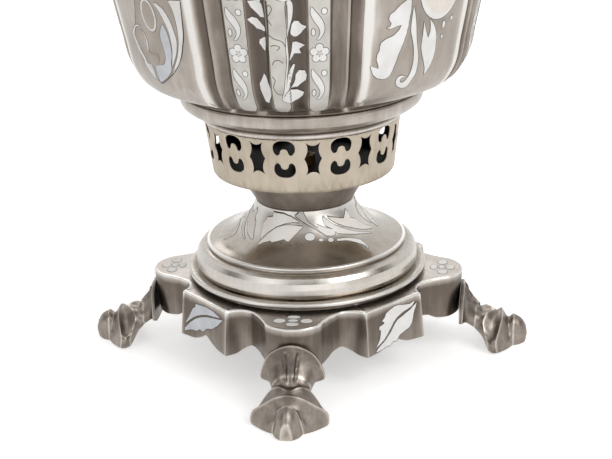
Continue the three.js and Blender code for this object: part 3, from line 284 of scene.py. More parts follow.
def makePiece(name, body, slot, material, grids, replaced=(), weld=0.002, crease=38, outward=True):
    # grids: [points in mm as rows x columns x 3, rows closed, columns closed, tarnish or None];
    # the tarnish values hold painted shade and painted highlights too.
    points, faces, tarnish, start = [], [], [], 0
    for grid in grids:
        surface, closedRows, closedColumns = grid[:3]
        shade = grid[3] if len(grid) > 3 else None
        rows, columns = surface.shape[:2]
        points.append(surface.reshape(-1, 3))
        faces.append(gridFaces(rows, columns, closedRows, closedColumns) + start)
        tarnish.append(np.zeros(rows * columns) if shade is None
                       else np.broadcast_to(shade, (rows, columns)).reshape(-1))
        start += rows * columns
    points = (np.concatenate(points) + [0, ownAxis, 0]) * mm
    mesh = bpy.data.meshes.new(name)
    mesh.from_pydata(points.tolist(), [], np.concatenate(faces).tolist())
    mesh.attributes.new("tarnish", "FLOAT", "POINT").data.foreach_set("value", np.concatenate(tarnish))
    work = bmesh.new()
    work.from_mesh(mesh)
    if weld:
        bmesh.ops.remove_doubles(work, verts=work.verts, dist=weld * mm)
    if outward:
        bmesh.ops.recalc_face_normals(work, faces=work.faces)
    work.to_mesh(mesh)
    work.free()
    mesh.polygons.foreach_set("use_smooth", np.ones(len(mesh.polygons), bool))
    mesh.set_sharp_from_angle(angle=math.radians(crease))
    mesh.materials.append(material)
    piece = bpy.data.objects.new(name, mesh)
    bpy.context.scene.collection.objects.link(piece)
    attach(piece, body)
    if replaced:
        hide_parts(*replaced)
    return piece


def moved(surface, turn=0.0, tilt=None, to=(0, 0, 0)):
    # A surface tipped so that its own +Z looks along tilt, turned about Z, then moved.
    points = surface
    if tilt is not None:
        z = np.asarray(tilt, float) / np.linalg.norm(tilt)
        x = np.cross([0, 0, 1.0], z)
        x = np.array([1.0, 0, 0]) if np.linalg.norm(x) < 1e-6 else x / np.linalg.norm(x)
        points = points @ np.array([x, np.cross(z, x), z])
    c, s = math.cos(math.radians(turn)), math.sin(math.radians(turn))
    return points @ np.array([[c, s, 0], [-s, c, 0], [0, 0, 1]]) + np.asarray(to, float)


def tube(path, radii, sides=20, flatten=1.0):
    # A round profile along a path: the first side direction is carried from point to point.
    path = np.asarray(path, float)
    along = np.gradient(path, axis=0)
    along /= np.linalg.norm(along, axis=1, keepdims=True)
    side = np.cross(along, [0.31, 0.87, 0.38])
    side /= np.linalg.norm(side, axis=1, keepdims=True)
    up = np.cross(along, side)
    angle = np.linspace(0, 2 * np.pi, sides, endpoint=False)[None, :, None]
    radii = np.broadcast_to(np.asarray(radii, float), len(path))[:, None, None]
    skin = path[:, None] + radii * (np.cos(angle) * side[:, None] * flatten + np.sin(angle) * up[:, None])
    ends = [np.repeat(path[k][None, None], sides, 1) for k in (0, -1)]
    return np.concatenate([ends[0], skin, ends[1]])


def shaped(table, radius, height, base=0.0):
    # Shares of a radius and a height become millimetres.
    return [[r * radius, base + z * height] for r, z in table]


def spun(table, radius, height, fillet, sides, base=0.0):
    # A turned shape from its shares, its corners filleted and its ends on the axis.
    return turned(roundedCorners(shaped(table, radius, height, base), fillet, closed=False), sides)


def evenGrid(surface, shade=0.15, closedRows=False):
    # One grid of a piece with the same tarnish all over.
    return [surface, closedRows, True, np.full((len(surface), 1), shade)]


def turnedPiece(name, node, body, slot, material, profile, fillet=0.5, closed=True, sides=120,
                shade=None, place=None, extra=(), **more):
    # One turned piece: its profile is filleted, carried round, and put in its place.
    line = roundedCorners(profile, fillet, closed=closed) if fillet else np.asarray(profile, float)
    surface = turned(line, sides)
    tarnish = None if shade is None else np.asarray(shade(line))[:, None]
    if place:
        surface = moved(surface, **place)
    return makePiece(name, body, slot, material, [[surface, closed, True, tarnish], *extra], node, **more)


plinth = {"top": 43.5, "drop": 25, "wall": 1.6, "edge": 1.3, "flat": 70.2, "flatHalf": 19.3, "nose": 85.8,
          "bay": 61.4, "noseHalf": 16.2, "cusp": 5.0, "bayRise": 5.4, "flare": 2.4, "taper": 1.8,
          "seat": 61.2, "seatHeight": 1.7, "soft": 0.5, "hem": 0.25, "rodBore": 3.3}


def plinthOutline():
    # One corner runs from a flat's arris through the hollow bay round the nose; four make the ring.
    # Columns: along the diagonal, across it, rise of the lower edge, outward flare of that edge.
    p = plinth
    length, arris = p["nose"] - p["bay"], (p["flat"] - p["flatHalf"]) * math.sqrt(0.5)
    across = arris - p["noseHalf"]
    half = np.array([
        [(p["flat"] + p["flatHalf"]) * math.sqrt(0.5), arris, 0, p["flare"]],
        [p["bay"] + length * 0.014, p["noseHalf"] + across * 0.79, 0.06 * p["bayRise"], 0.4],
        [p["bay"], p["noseHalf"] + across * 0.592, 0.5 * p["bayRise"], 0],
        [p["bay"] + length * 0.068, p["noseHalf"] + across * 0.362, p["bayRise"], 0],
        [p["bay"] + length * 0.227, p["noseHalf"] + across * 0.197, 0.9 * p["bayRise"], -0.3 * p["taper"]],
        [p["bay"] + length * 0.494, p["noseHalf"], 0.3 * p["bayRise"], -p["taper"]],
        [p["bay"] + length * 0.72, p["noseHalf"] * 0.83, 0.2 * p["bayRise"], -p["taper"]],
        [p["bay"] + length * 0.9, p["noseHalf"] * 0.5, 0.2 * p["bayRise"], -p["taper"]],
        [p["bay"] + length * 0.98, p["noseHalf"] * 0.17, 0.2 * p["bayRise"], -p["taper"]],
        [p["bay"] + length * 0.985, 0, 0.2 * p["bayRise"], -p["taper"]],
    ])
    line = smoothProfile(half, 46)
    back = line[:-1][::-1] * [1, -1, 1, 1]
    corner = np.concatenate([line, back])
    u = np.linspace(-1, 1, 26)[1:-1]
    flat = np.stack([0 * u + p["flat"], u * p["flatHalf"],
                     p["cusp"] * (1 - np.minimum(1, np.abs(u) / 0.6)) ** 1.6, p["flare"] * u * u], -1)
    ring = []
    for quarter in range(4):
        for part, angle in ((corner * [1, -1, 1, 1], 45 + 90 * quarter), (flat, 90 + 90 * quarter)):
            c, q = math.cos(math.radians(angle)), math.sin(math.radians(angle))
            x, y = part[:, :1], part[:, 1:2]
            ring.append(np.concatenate([x * c - y * q, x * q + y * c, part[:, 2:]], 1))
    return np.concatenate(ring)


def insetOutline(ring, distance):
    # Each point of the outline steps inwards along the outline's own normal.
    xy = ring[:, :2]
    along = np.roll(xy, -1, 0) - np.roll(xy, 1, 0)
    along /= np.linalg.norm(along, axis=1, keepdims=True)
    return xy + np.stack([-along[:, 1], along[:, 0]], -1) * distance


def makePlinth():
    # Rows run from the rod's bore over the seat and the top, down the skirt, under its edge and
    # back inside; every row follows the outline or a circle at the outline's own angles.
    p = plinth
    ring = plinthOutline()
    xy, rise, flare = ring[:, :2], ring[:, 2], ring[:, 3]
    out = xy / np.linalg.norm(xy, axis=1, keepdims=True)
    angle = np.arctan2(xy[:, 1], xy[:, 0])
    levels = []

    def circle(radius, z, dark):
        # One round row at a height, at the outline's own angles.
        levels.append((np.stack([radius * np.cos(angle), radius * np.sin(angle), 0 * angle + z], -1), dark))

    def edge(inward, z, share, dark):
        # One row along the outline, set inwards, flared outwards and lowered by a share of the way
        # from height z to the wavy lower edge; at a share of 1, z is counted from that edge.
        at = insetOutline(ring, inward) + out * (flare * share)[:, None]
        low = p["top"] - p["drop"] + rise
        levels.append((np.concatenate([at, (low + (z - low) * (1 - share) if share < 1
                                            else low + z)[:, None]], 1), dark))

    top, e, hem = p["top"], p["edge"], p["hem"]
    # The seat under the bell's flange is darker: painted shade under the flange.
    circle(p["rodBore"], top + p["seatHeight"], 0.3)
    circle(p["seat"] - p["soft"], top + p["seatHeight"], 0.3)
    circle(p["seat"], top + p["seatHeight"] - p["soft"], 0.7)
    circle(p["seat"] + 0.3, top + 0.05, 0.6)
    circle(p["seat"] + 1.2, top, 0.15)
    # The rounded top edge is painted pale as a highlight.
    for inward, down, dark in ((e * 1.6, 0, 0.1), (e, 0, 0.05), (e * 0.45, 0.12, -0.25),
                               (0.12, e * 0.45, -0.35), (0, e, 0.1)):
        edge(inward, top - down, 0, dark)
    # The skirt is darker, most just under the top edge: painted shade.
    for share in (0.15, 0.35, 0.6, 0.85, 0.97):
        edge(0, top - e, share, 0.25 * (1 - share) + 0.45)
    edge(0, hem, 1, -0.1)
    edge(hem, 0, 1, -0.2)
    edge(p["wall"] - hem, 0, 1, 0)
    edge(p["wall"], hem, 1, 0.4)
    under = insetOutline(ring, p["wall"])
    levels.append((np.concatenate([under, 0 * under[:, :1] + top - p["wall"]], 1), 0.9))
    circle(p["rodBore"], top - p["wall"], 0.8)
    surface = np.stack([points for points, dark in levels])
    # Painted highlights run down the arrises.
    corner = np.concatenate([[[p["flat"] * a, p["flatHalf"] * b], [p["flatHalf"] * b, p["flat"] * a]]
                             for a in (1, -1) for b in (1, -1)])
    arris = near(np.linalg.norm(xy[:, None] - corner, axis=2).min(1), 0, 1.1)
    shade = np.array([dark for points, dark in levels])[:, None] + np.clip(
        (66 - np.linalg.norm(xy, axis=1)) / 12, 0, 0.2)[None, :] - 0.5 * arris[None, :]
    return makePiece("plinth", "base", "engraved_plate", agedSheet, [[surface, True, True, shade]],
                     ["plinth"], crease=32)


makePlinth()

foot = {"reach": 35.5, "half": 19, "height": 35.5, "seat": 85.734, "slope": 0.0792, "top": 42.3, "lean": 0.3}
footSectionShares = np.array([
    [[0, 0, 1], [0, 0.58, 0.87], [0, 0.83, 0.6], [0, 0.82, 0.46], [0, 0.42, 0.43], [0, 0, 0.43]],
    [[0.04, 0, 1], [0.04, 0.58, 0.87], [0.04, 0.83, 0.6], [0.04, 0.82, 0.46], [0.04, 0.42, 0.43],
      [0.04, 0, 0.43]],
    [[0.1, 0, 0.82], [0.09, 0.36, 0.76], [0.09, 0.6, 0.58], [0.09, 0.61, 0.44], [0.1, 0.3, 0.4],
      [0.1, 0, 0.4]],
    [[0.225, 0, 0.615], [0.22, 0.28, 0.585], [0.21, 0.49, 0.47], [0.2, 0.49, 0.34], [0.2, 0.26, 0.3],
      [0.2, 0, 0.3]],
    [[0.31, 0, 0.5], [0.29, 0.29, 0.515], [0.26, 0.5, 0.44], [0.28, 0.58, 0.25], [0.3, 0.38, 0.18],
      [0.31, 0, 0.18]],
    [[0.49, 0, 0.525], [0.39, 0.3, 0.54], [0.31, 0.57, 0.42], [0.38, 0.88, 0.15], [0.39, 0.72, 0],
      [0.39, 0, 0]],
    [[0.56, 0, 0.5], [0.49, 0.35, 0.43], [0.46, 0.62, 0.3], [0.43, 0.98, 0.18], [0.45, 0.9, 0],
      [0.45, 0, 0]],
    [[0.62, 0, 0.525], [0.61, 0.33, 0.485], [0.56, 0.66, 0.36], [0.5, 1, 0.2], [0.53, 0.93, 0],
      [0.54, 0, 0]],
    [[0.71, 0, 0.4], [0.7, 0.27, 0.335], [0.69, 0.42, 0.21], [0.67, 0.68, 0.07], [0.67, 0.64, 0],
      [0.67, 0, 0]],
    [[0.79, 0, 0.455], [0.785, 0.22, 0.385], [0.78, 0.33, 0.24], [0.775, 0.39, 0.045], [0.77, 0.36, 0],
      [0.77, 0, 0]],
    [[0.915, 0, 0.38], [0.9, 0.17, 0.325], [0.9, 0.25, 0.21], [0.89, 0.3, 0.04], [0.88, 0.26, 0],
      [0.88, 0, 0]],
    [[0.99, 0, 0.26], [0.985, 0.08, 0.24], [1, 0.12, 0.17], [0.98, 0.15, 0.045], [0.96, 0.12, 0],
      [0.96, 0, 0]],
])
footBlocks = [(0, 1, 3), (1, 3, 12), (3, 5, 9), (5, 7, 12), (7, 9, 12), (9, 11, 10)]


def makeFeet():
    # The sections run along the foot as smooth lines that break at each crest, which leaves
    # scooped hollows between sharp ridges; round the section the line is smooth as well.
    half = footSectionShares
    sections = np.concatenate([half, half[:, -2:0:-1] * [1, -1, 1]], 1)
    rows = []
    for first, last, steps in footBlocks:
        block = sections[first:last + 1]
        line = lineThrough(np.arange(len(block)), block, np.linspace(0, len(block) - 1, steps))
        rows.append(line if first == 0 else line[1:])
    rows = np.concatenate(rows)
    count = rows.shape[1]
    wrapped = np.concatenate([rows[:, -3:], rows, rows[:, :3]], 1).transpose(1, 0, 2)
    around = lineThrough(np.arange(-3, count + 3), wrapped, np.linspace(0, count, 72, endpoint=False))
    surface = around.transpose(1, 0, 2)
    s, w, z = surface[..., 0], surface[..., 1], np.clip(surface[..., 2], 0, 1)
    ridge = np.abs(np.abs(w) - (0.1 + 0.12 * np.clip(0.3 - s, 0, 0.3) / 0.3))
    channel = near(ridge, 0, 0.035) * np.clip((s - 0.03) / 0.05, 0, 1) * np.clip((0.3 - s) / 0.06, 0, 1)
    s = s + channel * 0.035 * (z > 0.48)
    z = z + channel * 0.025 * (z > 0.48)
    x = foot["seat"] + s * foot["reach"] - foot["slope"] * (foot["top"] - z * foot["height"]) * np.maximum(
        0, 1 - s / foot["lean"])
    surface = np.stack([x, w * foot["half"], z * foot["height"]], -1)
    caps = [np.repeat(surface[k].mean(0)[None, None], surface.shape[1], 1) for k in (0, -1)]
    surface = np.concatenate([caps[0], surface, caps[1]])
    level = surface[..., 2] / foot["height"]
    crest = np.zeros(len(surface))
    start = 1
    for first, last, steps in footBlocks:
        start += steps - 1
        crest[min(start, len(crest) - 1)] = 1
    # Painted shade darkens the feet towards the top and a painted shadow darkens them where they meet the
    # floor; the crests are paler.
    shade = 0.2 + 0.4 * level - 0.5 * crest[:, None] + 0.15 * near(surface[..., 2], 0, 5)
    for place, angle in (("back_right", 45), ("back_left", 135), ("front_left", 225), ("front_right", 315)):
        makePiece("foot_" + place, "base", "cast_plate", agedCast,
                  [[moved(surface, turn=angle), False, True, shade]], ["foot_" + place], crease=26)


makeFeet()

bell = {"radius": 65, "height": 39.5, "base": 45.5, "fillet": 0.25, "leavesAt": 51.2, "runs": 3,
        "berries": ((3.3, 33.4, 4.5, 1.6), (12.6, 35.1, 2, 0.7), (21, 35.7, 2.5, 1))}
bellShares = [[0.41, 1], [0.418, 0.95], [0.432, 0.89], [0.455, 0.82], [0.485, 0.75], [0.522, 0.685],
              [0.575, 0.617], [0.64, 0.553], [0.72, 0.495], [0.812, 0.45]]
bellRings = [[0.815, 0.446], [0.832, 0.45], [0.838, 0.433], [0.832, 0.41], [0.819, 0.4], [0.822, 0.388],
             [0.862, 0.38], [0.897, 0.348], [0.92, 0.29], [0.93, 0.21], [0.931, 0.14], [0.925, 0.1],
             [0.913, 0.082], [0.935, 0.077], [0.985, 0.075], [1.0, 0.055], [1.0, 0.025], [0.985, 0]]
bellInside = [[0.9, 0], [0.88, 0.3], [0.78, 0.4], [0.66, 0.48], [0.54, 0.6], [0.455, 0.72], [0.41, 0.84],
              [0.385, 0.93], [0.385, 1]]
bellFlare = smoothProfile(shaped(bellShares, bell["radius"], bell["height"], bell["base"]), 80)


def bellShade(line):
    # Dark where dust and wax stay and where shade falls: under the bead, behind the flange and inside,
    # so the grooves carry painted shade as well as dirt. The bead is rubbed pale and painted paler still
    # as a highlight; the torus and the flange's edge are rubbed pale. The low outer flare is darker all
    # round, a painted reflection of the dark parts above it, and the neck paler; r and z are shares of
    # the bell's size.
    r, z = line[:, 0] / bell["radius"], (line[:, 1] - bell["base"]) / bell["height"]
    groove = 0.5 * near(z, 0.387, 0.01) * (r > 0.78) + near(z, 0.08, 0.01) * (r < 0.94)
    flare = (0.36 * np.clip((r - 0.53) / 0.08, 0, 1) - 0.15) * (r < 0.812) * (z > 0.43)
    bead = (r > 0.81) & (z > 0.395) & (z < 0.46)
    torus = (r > 0.82) & (z > 0.09) & (z < 0.375)
    flangeTop, flangeEdge = (r > 0.94) & (z > 0.06), (r > 0.98) & (z < 0.065)
    return 0.02 + 0.7 * groove + flare - 0.7 * bead - 0.06 * torus + 0.1 * flangeTop - 0.3 * flangeEdge


turnedPiece("bellFoot", ["bell_foot"], "base", "engraved_plate", agedBell, np.concatenate([
    bellFlare, shaped(bellRings + bellInside, bell["radius"], bell["height"], bell["base"])]),
            fillet=bell["fillet"], sides=200, shade=bellShade, crease=50)
collar = {"neck": 26.6, "flare": 11.1, "base": 85.3, "height": 16.2, "wall": 1.44}
collarShares = [[0, 0], [0.12, 0.15], [0.3, 0.35], [0.48, 0.55], [0.72, 0.8], [1, 1]]
collarLine = smoothProfile([[collar["neck"] + collar["flare"] * r, collar["base"] + collar["height"] * z]
                            for r, z in collarShares], 24)
# The collar is darker towards its foot: a painted dark reflection.
turnedPiece("neckCollar", ["neck_collar"], "base", "plate", agedSheet,
            np.concatenate([collarLine, collarLine[::-1] - [collar["wall"], 0]]), fillet=0, sides=160,
            shade=lambda line: 0.5 - 0.3 * (line[:, 1] - collar["base"]) / collar["height"])
print("foot made")


def arcChain(tips, middles, steps):
    # Arcs from tip to tip, each a parabola through its own middle point.
    p0 = np.asarray(tips, float)
    p1 = np.roll(p0, -1, 0)
    control = 2 * np.asarray(middles, float) - (p0 + p1) / 2
    t = (np.arange(steps) / steps)[None, :, None]
    return ((1 - t)**2 * p0[:, None] + 2 * t * (1 - t) * control[:, None] + t**2 * p1[:, None]).reshape(-1, 2)


def smoothLoop(points, count):
    # Closed smooth line through points, then spaced evenly along its length.
    p = np.asarray(points, float)
    wrapped = np.concatenate([p[-3:], p, p[:4]])
    dense = lineThrough(np.arange(-3, len(p) + 4), wrapped, np.linspace(0, len(p), 400))
    run = np.concatenate([[0], np.cumsum(np.linalg.norm(np.diff(dense, axis=0), axis=1))])
    at = np.linspace(0, run[-1], count, endpoint=False)
    return np.stack([np.interp(at, run, dense[:, k]) for k in (0, 1)], -1)


def boxLoop(x0, x1, y0, y1, across, up):
    # The rectangle's edge, counter-clockwise from the middle of its right side.
    right = np.stack([np.full(up, x1), np.linspace(y0, y1, up + 1)[:-1]], -1)
    top = np.stack([np.linspace(x1, x0, across + 1)[:-1], np.full(across, y1)], -1)
    left = np.stack([np.full(up, x0), np.linspace(y1, y0, up + 1)[:-1]], -1)
    low = np.stack([np.linspace(x0, x1, across + 1)[:-1], np.full(across, y0)], -1)
    return np.concatenate([right[up // 2:], top, left, low, right[:up // 2]])


def holeCell(hole, box, wall, lip=0.28, margin=0.9):
    # From the cell's edge the skin closes on the hole, rolls over its lip, goes through the
    # wall and comes back on the inside. Result: rows of (across, up, depth).
    along = np.roll(hole, -1, 0) - np.roll(hole, 1, 0)
    along /= np.linalg.norm(along, axis=1, keepdims=True)
    outwards = np.stack([along[:, 1], -along[:, 0]], -1)
    steps = [(box, 0), (box * 0.5 + (hole + outwards * margin) * 0.5, 0), (hole + outwards * margin, 0),
             (hole + outwards * lip, 0), (hole + outwards * lip * 0.3, lip * 0.3), (hole, lip),
             (hole, wall - 0.1), (hole + outwards * margin, wall), (box, wall)]
    return np.stack([np.concatenate([p, np.full((len(p), 1), d)], 1) for p, d in steps])


def bend(cell, turnTo, meanRadius, radiusAt, base):
    # A flat cell goes round the cone: across becomes an angle, depth goes towards the axis.
    angle = math.radians(turnTo) + cell[..., 0] / meanRadius
    radius = radiusAt(cell[..., 1]) - cell[..., 2]
    return np.stack([radius * np.cos(angle), radius * np.sin(angle), base + cell[..., 1]], -1)


gallery = {"low": 48.9, "high": 52.3, "base": 101.8, "height": 29.6, "wall": 1.3, "edge": 2.4, "pairs": 11,
           "first": 40.2, "rise": 17.0, "spacing": 12.0, "bean": (5.55, 3.95), "floor": 1.5}
slotOutline = arcChain([[4.45, 0], [3.6, 8.75], [-3.6, 8.75], [-4.45, 0], [-3.6, -8.75], [3.6, -8.75]],
                       [[2.75, 4.7], [0, 7.05], [-2.75, 4.7], [-2.75, -4.7], [0, -7.05], [2.75, -4.7]], 12)
beanShares = [[1, 0], [0.9, 0.5], [0.52, 0.9], [0, 1], [-0.52, 0.9], [-0.9, 0.5], [-1, 0], [-0.93, -0.6],
              [-0.68, -0.97], [-0.43, -0.82], [-0.34, -0.42], [-0.2, -0.17], [0, -0.1], [0.2, -0.17],
              [0.34, -0.42], [0.43, -0.82], [0.68, -0.97], [0.93, -0.6]]


def makeGallery():
    # Cells of two beans and one slot stand side by side on the cone: radius = low + (high - low) *
    # share of the height. The plain floor below and the brim above close the ring.
    g = gallery
    height, mean = g["height"] - g["edge"], (g["low"] + g["high"]) / 2
    cell = 2 * math.pi * mean / g["pairs"]
    base = g["base"] + g["edge"]

    def radiusAt(y):
        # The cone widens evenly from low to high.
        return g["low"] + (g["high"] - g["low"]) * y / height

    slot = holeCell(slotOutline + [cell / 4, g["rise"]], boxLoop(0, cell / 2, 0, height, 16, 20), g["wall"])
    split = g["rise"]
    ways = []
    for way, low, high, up in ((1, split, height, 8), (-1, 0, split, 12)):
        outline = smoothLoop(np.array(beanShares) * g["bean"], 2 * (16 + up))
        if way < 0:
            outline = np.roll(outline[::-1] * [1, -1], 1, 0)
        outline = outline + [-cell / 4, g["rise"] + way * g["spacing"] / 2]
        ways.append(holeCell(outline, boxLoop(-cell / 2, 0, low, high, 16, up), g["wall"]))
    grids = []
    for k in range(g["pairs"]):
        turnTo = g["first"] + 360 / g["pairs"] * (k + 0.25)
        for part in (slot, *ways):
            depth = part[..., 2]
            # Through the wall and on the inside the cells go near black: soot and painted shade, so the holes
            # read dark. The lips of the holes are paler.
            shade = 0.1 + 1.9 * (depth > 0.6) - 0.35 * ((depth > 0.01) & (depth < 0.3))
            grids.append([bend(part, turnTo, mean, radiusAt, base), False, True, shade])
    sides = 32 * g["pairs"]
    start = np.radians(g["first"] + 360 / g["pairs"] * 0.25)
    angle = start + np.linspace(0, 2 * np.pi, sides, endpoint=False)
    low, e, inner = g["low"], g["edge"], g["low"] - g["wall"]
    foot = np.array([[low, base], [low - 0.12, base - e * 0.4], [low - 0.7, base - e * 0.8],
                     [low - e, g["base"]], [low - e - 0.8, g["base"]], [plinth["rodBore"], g["base"]],
                     [plinth["rodBore"], g["base"] + g["floor"]], [inner - e, g["base"] + g["floor"]],
                     [inner, base]])
    brim = np.array([[g["high"], base + height], [g["high"] - g["wall"], base + height]])
    # The inner floor and wall are near black too: soot and painted shade.
    for line, sootAndShadeFrom in ((foot, 6), (brim, 9)):
        shade = 0.25 + 1.75 * (np.arange(len(line)) >= sootAndShadeFrom)[:, None]
        grids.append([aroundAxis(line, angle), False, True, shade])
    return makePiece("gallery", "base", "plate", agedGallery, grids, ["gallery"], weld=0.02, crease=40)


makeGallery()
ringTable = [[49.4, 131.7], [52.6, 131.7], [53.5, 132.3], [53.6, 133.4], [53.35, 134.4], [52.7, 135.0],
             [52.9, 135.4], [52.6, 136.1], [49.4, 136.1]]
# Painted shade darkens the crease of the step near the top; a painted highlight lightens the bulge.
turnedPiece("galleryRing", ["gallery_ring"], "base", "plate", agedSheet, ringTable, fillet=0.3, sides=160,
            shade=lambda line: 0.35 + 0.5 * near(line[:, 1], 135.1, 0.3) - 0.4 * near(line[:, 1], 133.2, 0.8))
baseRingTable = [[54.1, 136.4], [57.6, 136.9], [61.4, 138.6], [63.6, 140.6], [64.25, 142.6], [64.3, 145.4],
                 [64.0, 146.3], [63.1, 146.9], [63.3, 147.6], [53.9, 147.6], [53.9, 145.6], [60.3, 145.6],
                 [60.3, 142.0], [52.1, 136.4]]
# Painted shade darkens the notch near the top; a painted highlight lightens the lower bulge.
turnedPiece("baseRing", ["base_ring"], "base", "plate", agedSheet, baseRingTable, fillet=0.5, sides=200,
            shade=lambda line: (0.22 + 0.6 * near(line[:, 1], 146.9, 0.4)
                                - 0.12 * near(line[:, 1], 141.5, 2.0)))
print("gallery made")


# The flutes fade in just over the foot and out under the shoulder, at these shares of the height.
body = {"radius": 108, "height": 168, "foot": 147.9, "reach": 107.78, "fadeIn": 0.016, "fadeOut": 0.975}
bodyShares = [[0.643, 0.02], [0.744, 0.042], [0.811, 0.1], [0.848, 0.2], [0.906, 0.39], [0.966, 0.6],
              [0.998, 0.79], [0.96, 0.905], [0.85, 0.97], [0.745, 1]]
bodyFoot = [[64.6, 147.9], [64.0, 148.5], [63.6, 149.3], [64.3, 150.1], [66.2, 150.6], [68.4, 150.9]]
bodyLine = np.concatenate([bodyFoot, smoothProfile(
    shaped(bodyShares, body["radius"], body["height"], body["foot"]), 150)])
bodyLine[:, 0] = np.minimum(bodyLine[:, 0], body["reach"])
# Gouged flutes of one eighth: start and end in degrees from the strip group's middle, and depth.
gouges = [(2.9, 8.55, 2.3), (14.85, 19.6, 2.1), (20.3, 24.3, 2.0)]
deepest = max(depth for start, end, depth in gouges)
bead = {"at": 25.8, "wide": 1.1, "rise": 0.5}


def eighth(angle):
    # Degrees from the middle of the nearest strip group, 0 to 45.
    return np.abs(np.asarray(angle) % 90 - 45)


def gougeShare(angle):
    # 1 along the bottom of a flute, 0 outside it; the section is a flat-bottomed round.
    a, share = eighth(angle), 0
    for start, end, depth in gouges:
        x = np.clip(np.abs(a - (start + end) / 2) / ((end - start) / 2), 0, 1)
        share = share + depth * (1 - x ** 2.4) ** 0.7
    return share / deepest


def bodyPoint(angle, z, lift=0.0):
    # Silhouette radius at that height, less the flute's depth, plus a lift along the profile's normal.
    r = np.interp(z, bodyLine[:, 1], bodyLine[:, 0])
    slope = np.interp(z, bodyLine[:, 1], np.gradient(bodyLine[:, 0], bodyLine[:, 1]))
    share = (z - body["foot"]) / body["height"]
    fade = np.clip((share - body["fadeIn"]) * 60, 0, 1) ** 0.7 * np.clip((body["fadeOut"] - share) * 10, 0, 1)
    edge = bead["rise"] * near(eighth(angle), bead["at"], bead["wide"])
    length = np.sqrt(1 + slope ** 2)
    r = np.minimum(r + edge * fade, body["reach"]) - deepest * gougeShare(angle) * fade + lift / length
    a = np.radians(angle)
    return np.stack([r * np.cos(a), r * np.sin(a), z - lift * slope / length], -1)


def makeBody():
    # Columns stand closest at the flutes' edges; the outer rows follow bodyPoint, the lining is round.
    stops = [0, 2.9, 8.55, 14.85, 19.6, 20.3, 24.3, 27.8, 45]
    parts = [2, 12, 4, 10, 2, 10, 8, 10]
    half = np.concatenate([np.linspace(a, b, n + 1)[:-1] for a, b, n in zip(stops, stops[1:], parts)])
    eighths = np.concatenate([half, 90 - half[:0:-1], [45]])
    eighths.sort()
    angle = np.concatenate([45 + 90 * k + eighths for k in range(4)])[None, :]
    z = bodyLine[:, 1][:, None]
    outer = bodyPoint(angle + 0 * z, z + 0 * angle)
    inner = np.array([[79.3, 315.9], [79.3, 313.5], [98.6, 297], [104.3, 281], [94.3, 213], [84, 165],
                      [62.3, 151], [62.3, 147.9]])
    surface = np.concatenate([outer, aroundAxis(inner, np.radians(angle))])
    share = (z - body["foot"]) / body["height"]
    a = eighth(angle)
    strip = (a > 8.7) & (a < 14.7)
    # Darker along the flutes, set flute by flute: tarnish in the hollows and painted shade. The bead is
    # painted pale as a highlight; the strips' ground is paler, the foot under the flutes darker and the line
    # where the flutes begin paler.
    deep = np.where(a < 9, 0.7, np.where(a < 20, 0.36, 0.55)) * gougeShare(angle) ** 0.8
    shade = (0.2 + deep * (share > 0.02) - 0.45 * strip - 0.8 * near(a, bead["at"], 1.4)
             + 0.35 * (share < body["fadeIn"]) - 0.6 * (np.abs(share - 0.02) < 0.004))
    shade = np.concatenate([shade, np.full((len(inner), angle.shape[1]), 0.5)])
    return makePiece("bodyShell", "base", "engraved_plate", agedSheet, [[surface, True, True, shade]],
                     ["body_shell"], crease=24)


makeBody()
print("body made")


def pairsAlong(table, steps, smooth):
    # A blade is two edges, given as pairs of points; more pairs are laid between the given ones.
    rows = np.asarray(table, float)
    at = np.linspace(0, len(rows) - 1, (len(rows) - 1) * steps + 1)
    if smooth:
        return lineThrough(np.arange(len(rows)), rows, at)
    return np.stack([np.interp(at, np.arange(len(rows)), rows[:, k]) for k in range(4)], -1)


def widened(rows, rim, aspect):
    # The outline steps outwards along its own normal; aspect is the length of one unit of u.
    loop = np.concatenate([rows[:, :2], rows[::-1, 2:]]) * [aspect, 1]
    along = np.roll(loop, -1, 0) - np.roll(loop, 1, 0)
    along /= np.maximum(np.linalg.norm(along, axis=1, keepdims=True), 1e-6)
    normal = np.stack([along[:, 1], -along[:, 0]], -1)
    x, y = loop[:, 0], loop[:, 1]
    turnWay = np.sign(np.sum(x * np.roll(y, -1) - np.roll(x, -1) * y))
    loop = (loop + normal * turnWay * rim) / [aspect, 1]
    return np.concatenate([loop[:len(rows)], loop[len(rows):][::-1]], 1)


def blade(table, place, lift, smooth=False, aspect=1.0):
    # Surface between the two edges, laid on the metal by place(u, v, lift), in steps of about 1 mm.
    table = np.asarray(table, float)
    longest = np.linalg.norm(np.diff(table, axis=0)[:, :2] * [aspect, 1], axis=1).max()
    widest = np.linalg.norm((table[:, 2:] - table[:, :2]) * [aspect, 1], axis=1).max()
    rows = pairsAlong(table, int(np.clip(longest, 3, 12)), smooth)
    t = np.linspace(0, 1, int(np.clip(widest, 3, 30)) + 1)[None, :, None]
    flat = rows[:, None, :2] * (1 - t) + rows[:, None, 2:] * t
    return [place(flat[..., 0], flat[..., 1], lift), False, False]


def outlined(table, place, lift, rim, smooth=False, aspect=1.0):
    # Engraved line: a band that follows the blade's outline, from just inside it to rim outside it.
    table = np.asarray(table, float)
    longest = np.linalg.norm(np.diff(table, axis=0)[:, :2] * [aspect, 1], axis=1).max()
    rows = pairsAlong(table, int(np.clip(longest, 3, 12)), smooth)
    edges = [np.concatenate([wide[:, :2], wide[::-1, 2:]]) for wide in (
        widened(rows, rim, aspect), widened(rows, -0.1, aspect))]
    band = np.stack(edges)
    return [place(band[..., 0], band[..., 1], lift), False, True]


def flipped(table, level):
    # The table upside down: height becomes 2 * level - height.
    return [[a, 2 * level - b, c, 2 * level - d] for a, b, c, d in table]


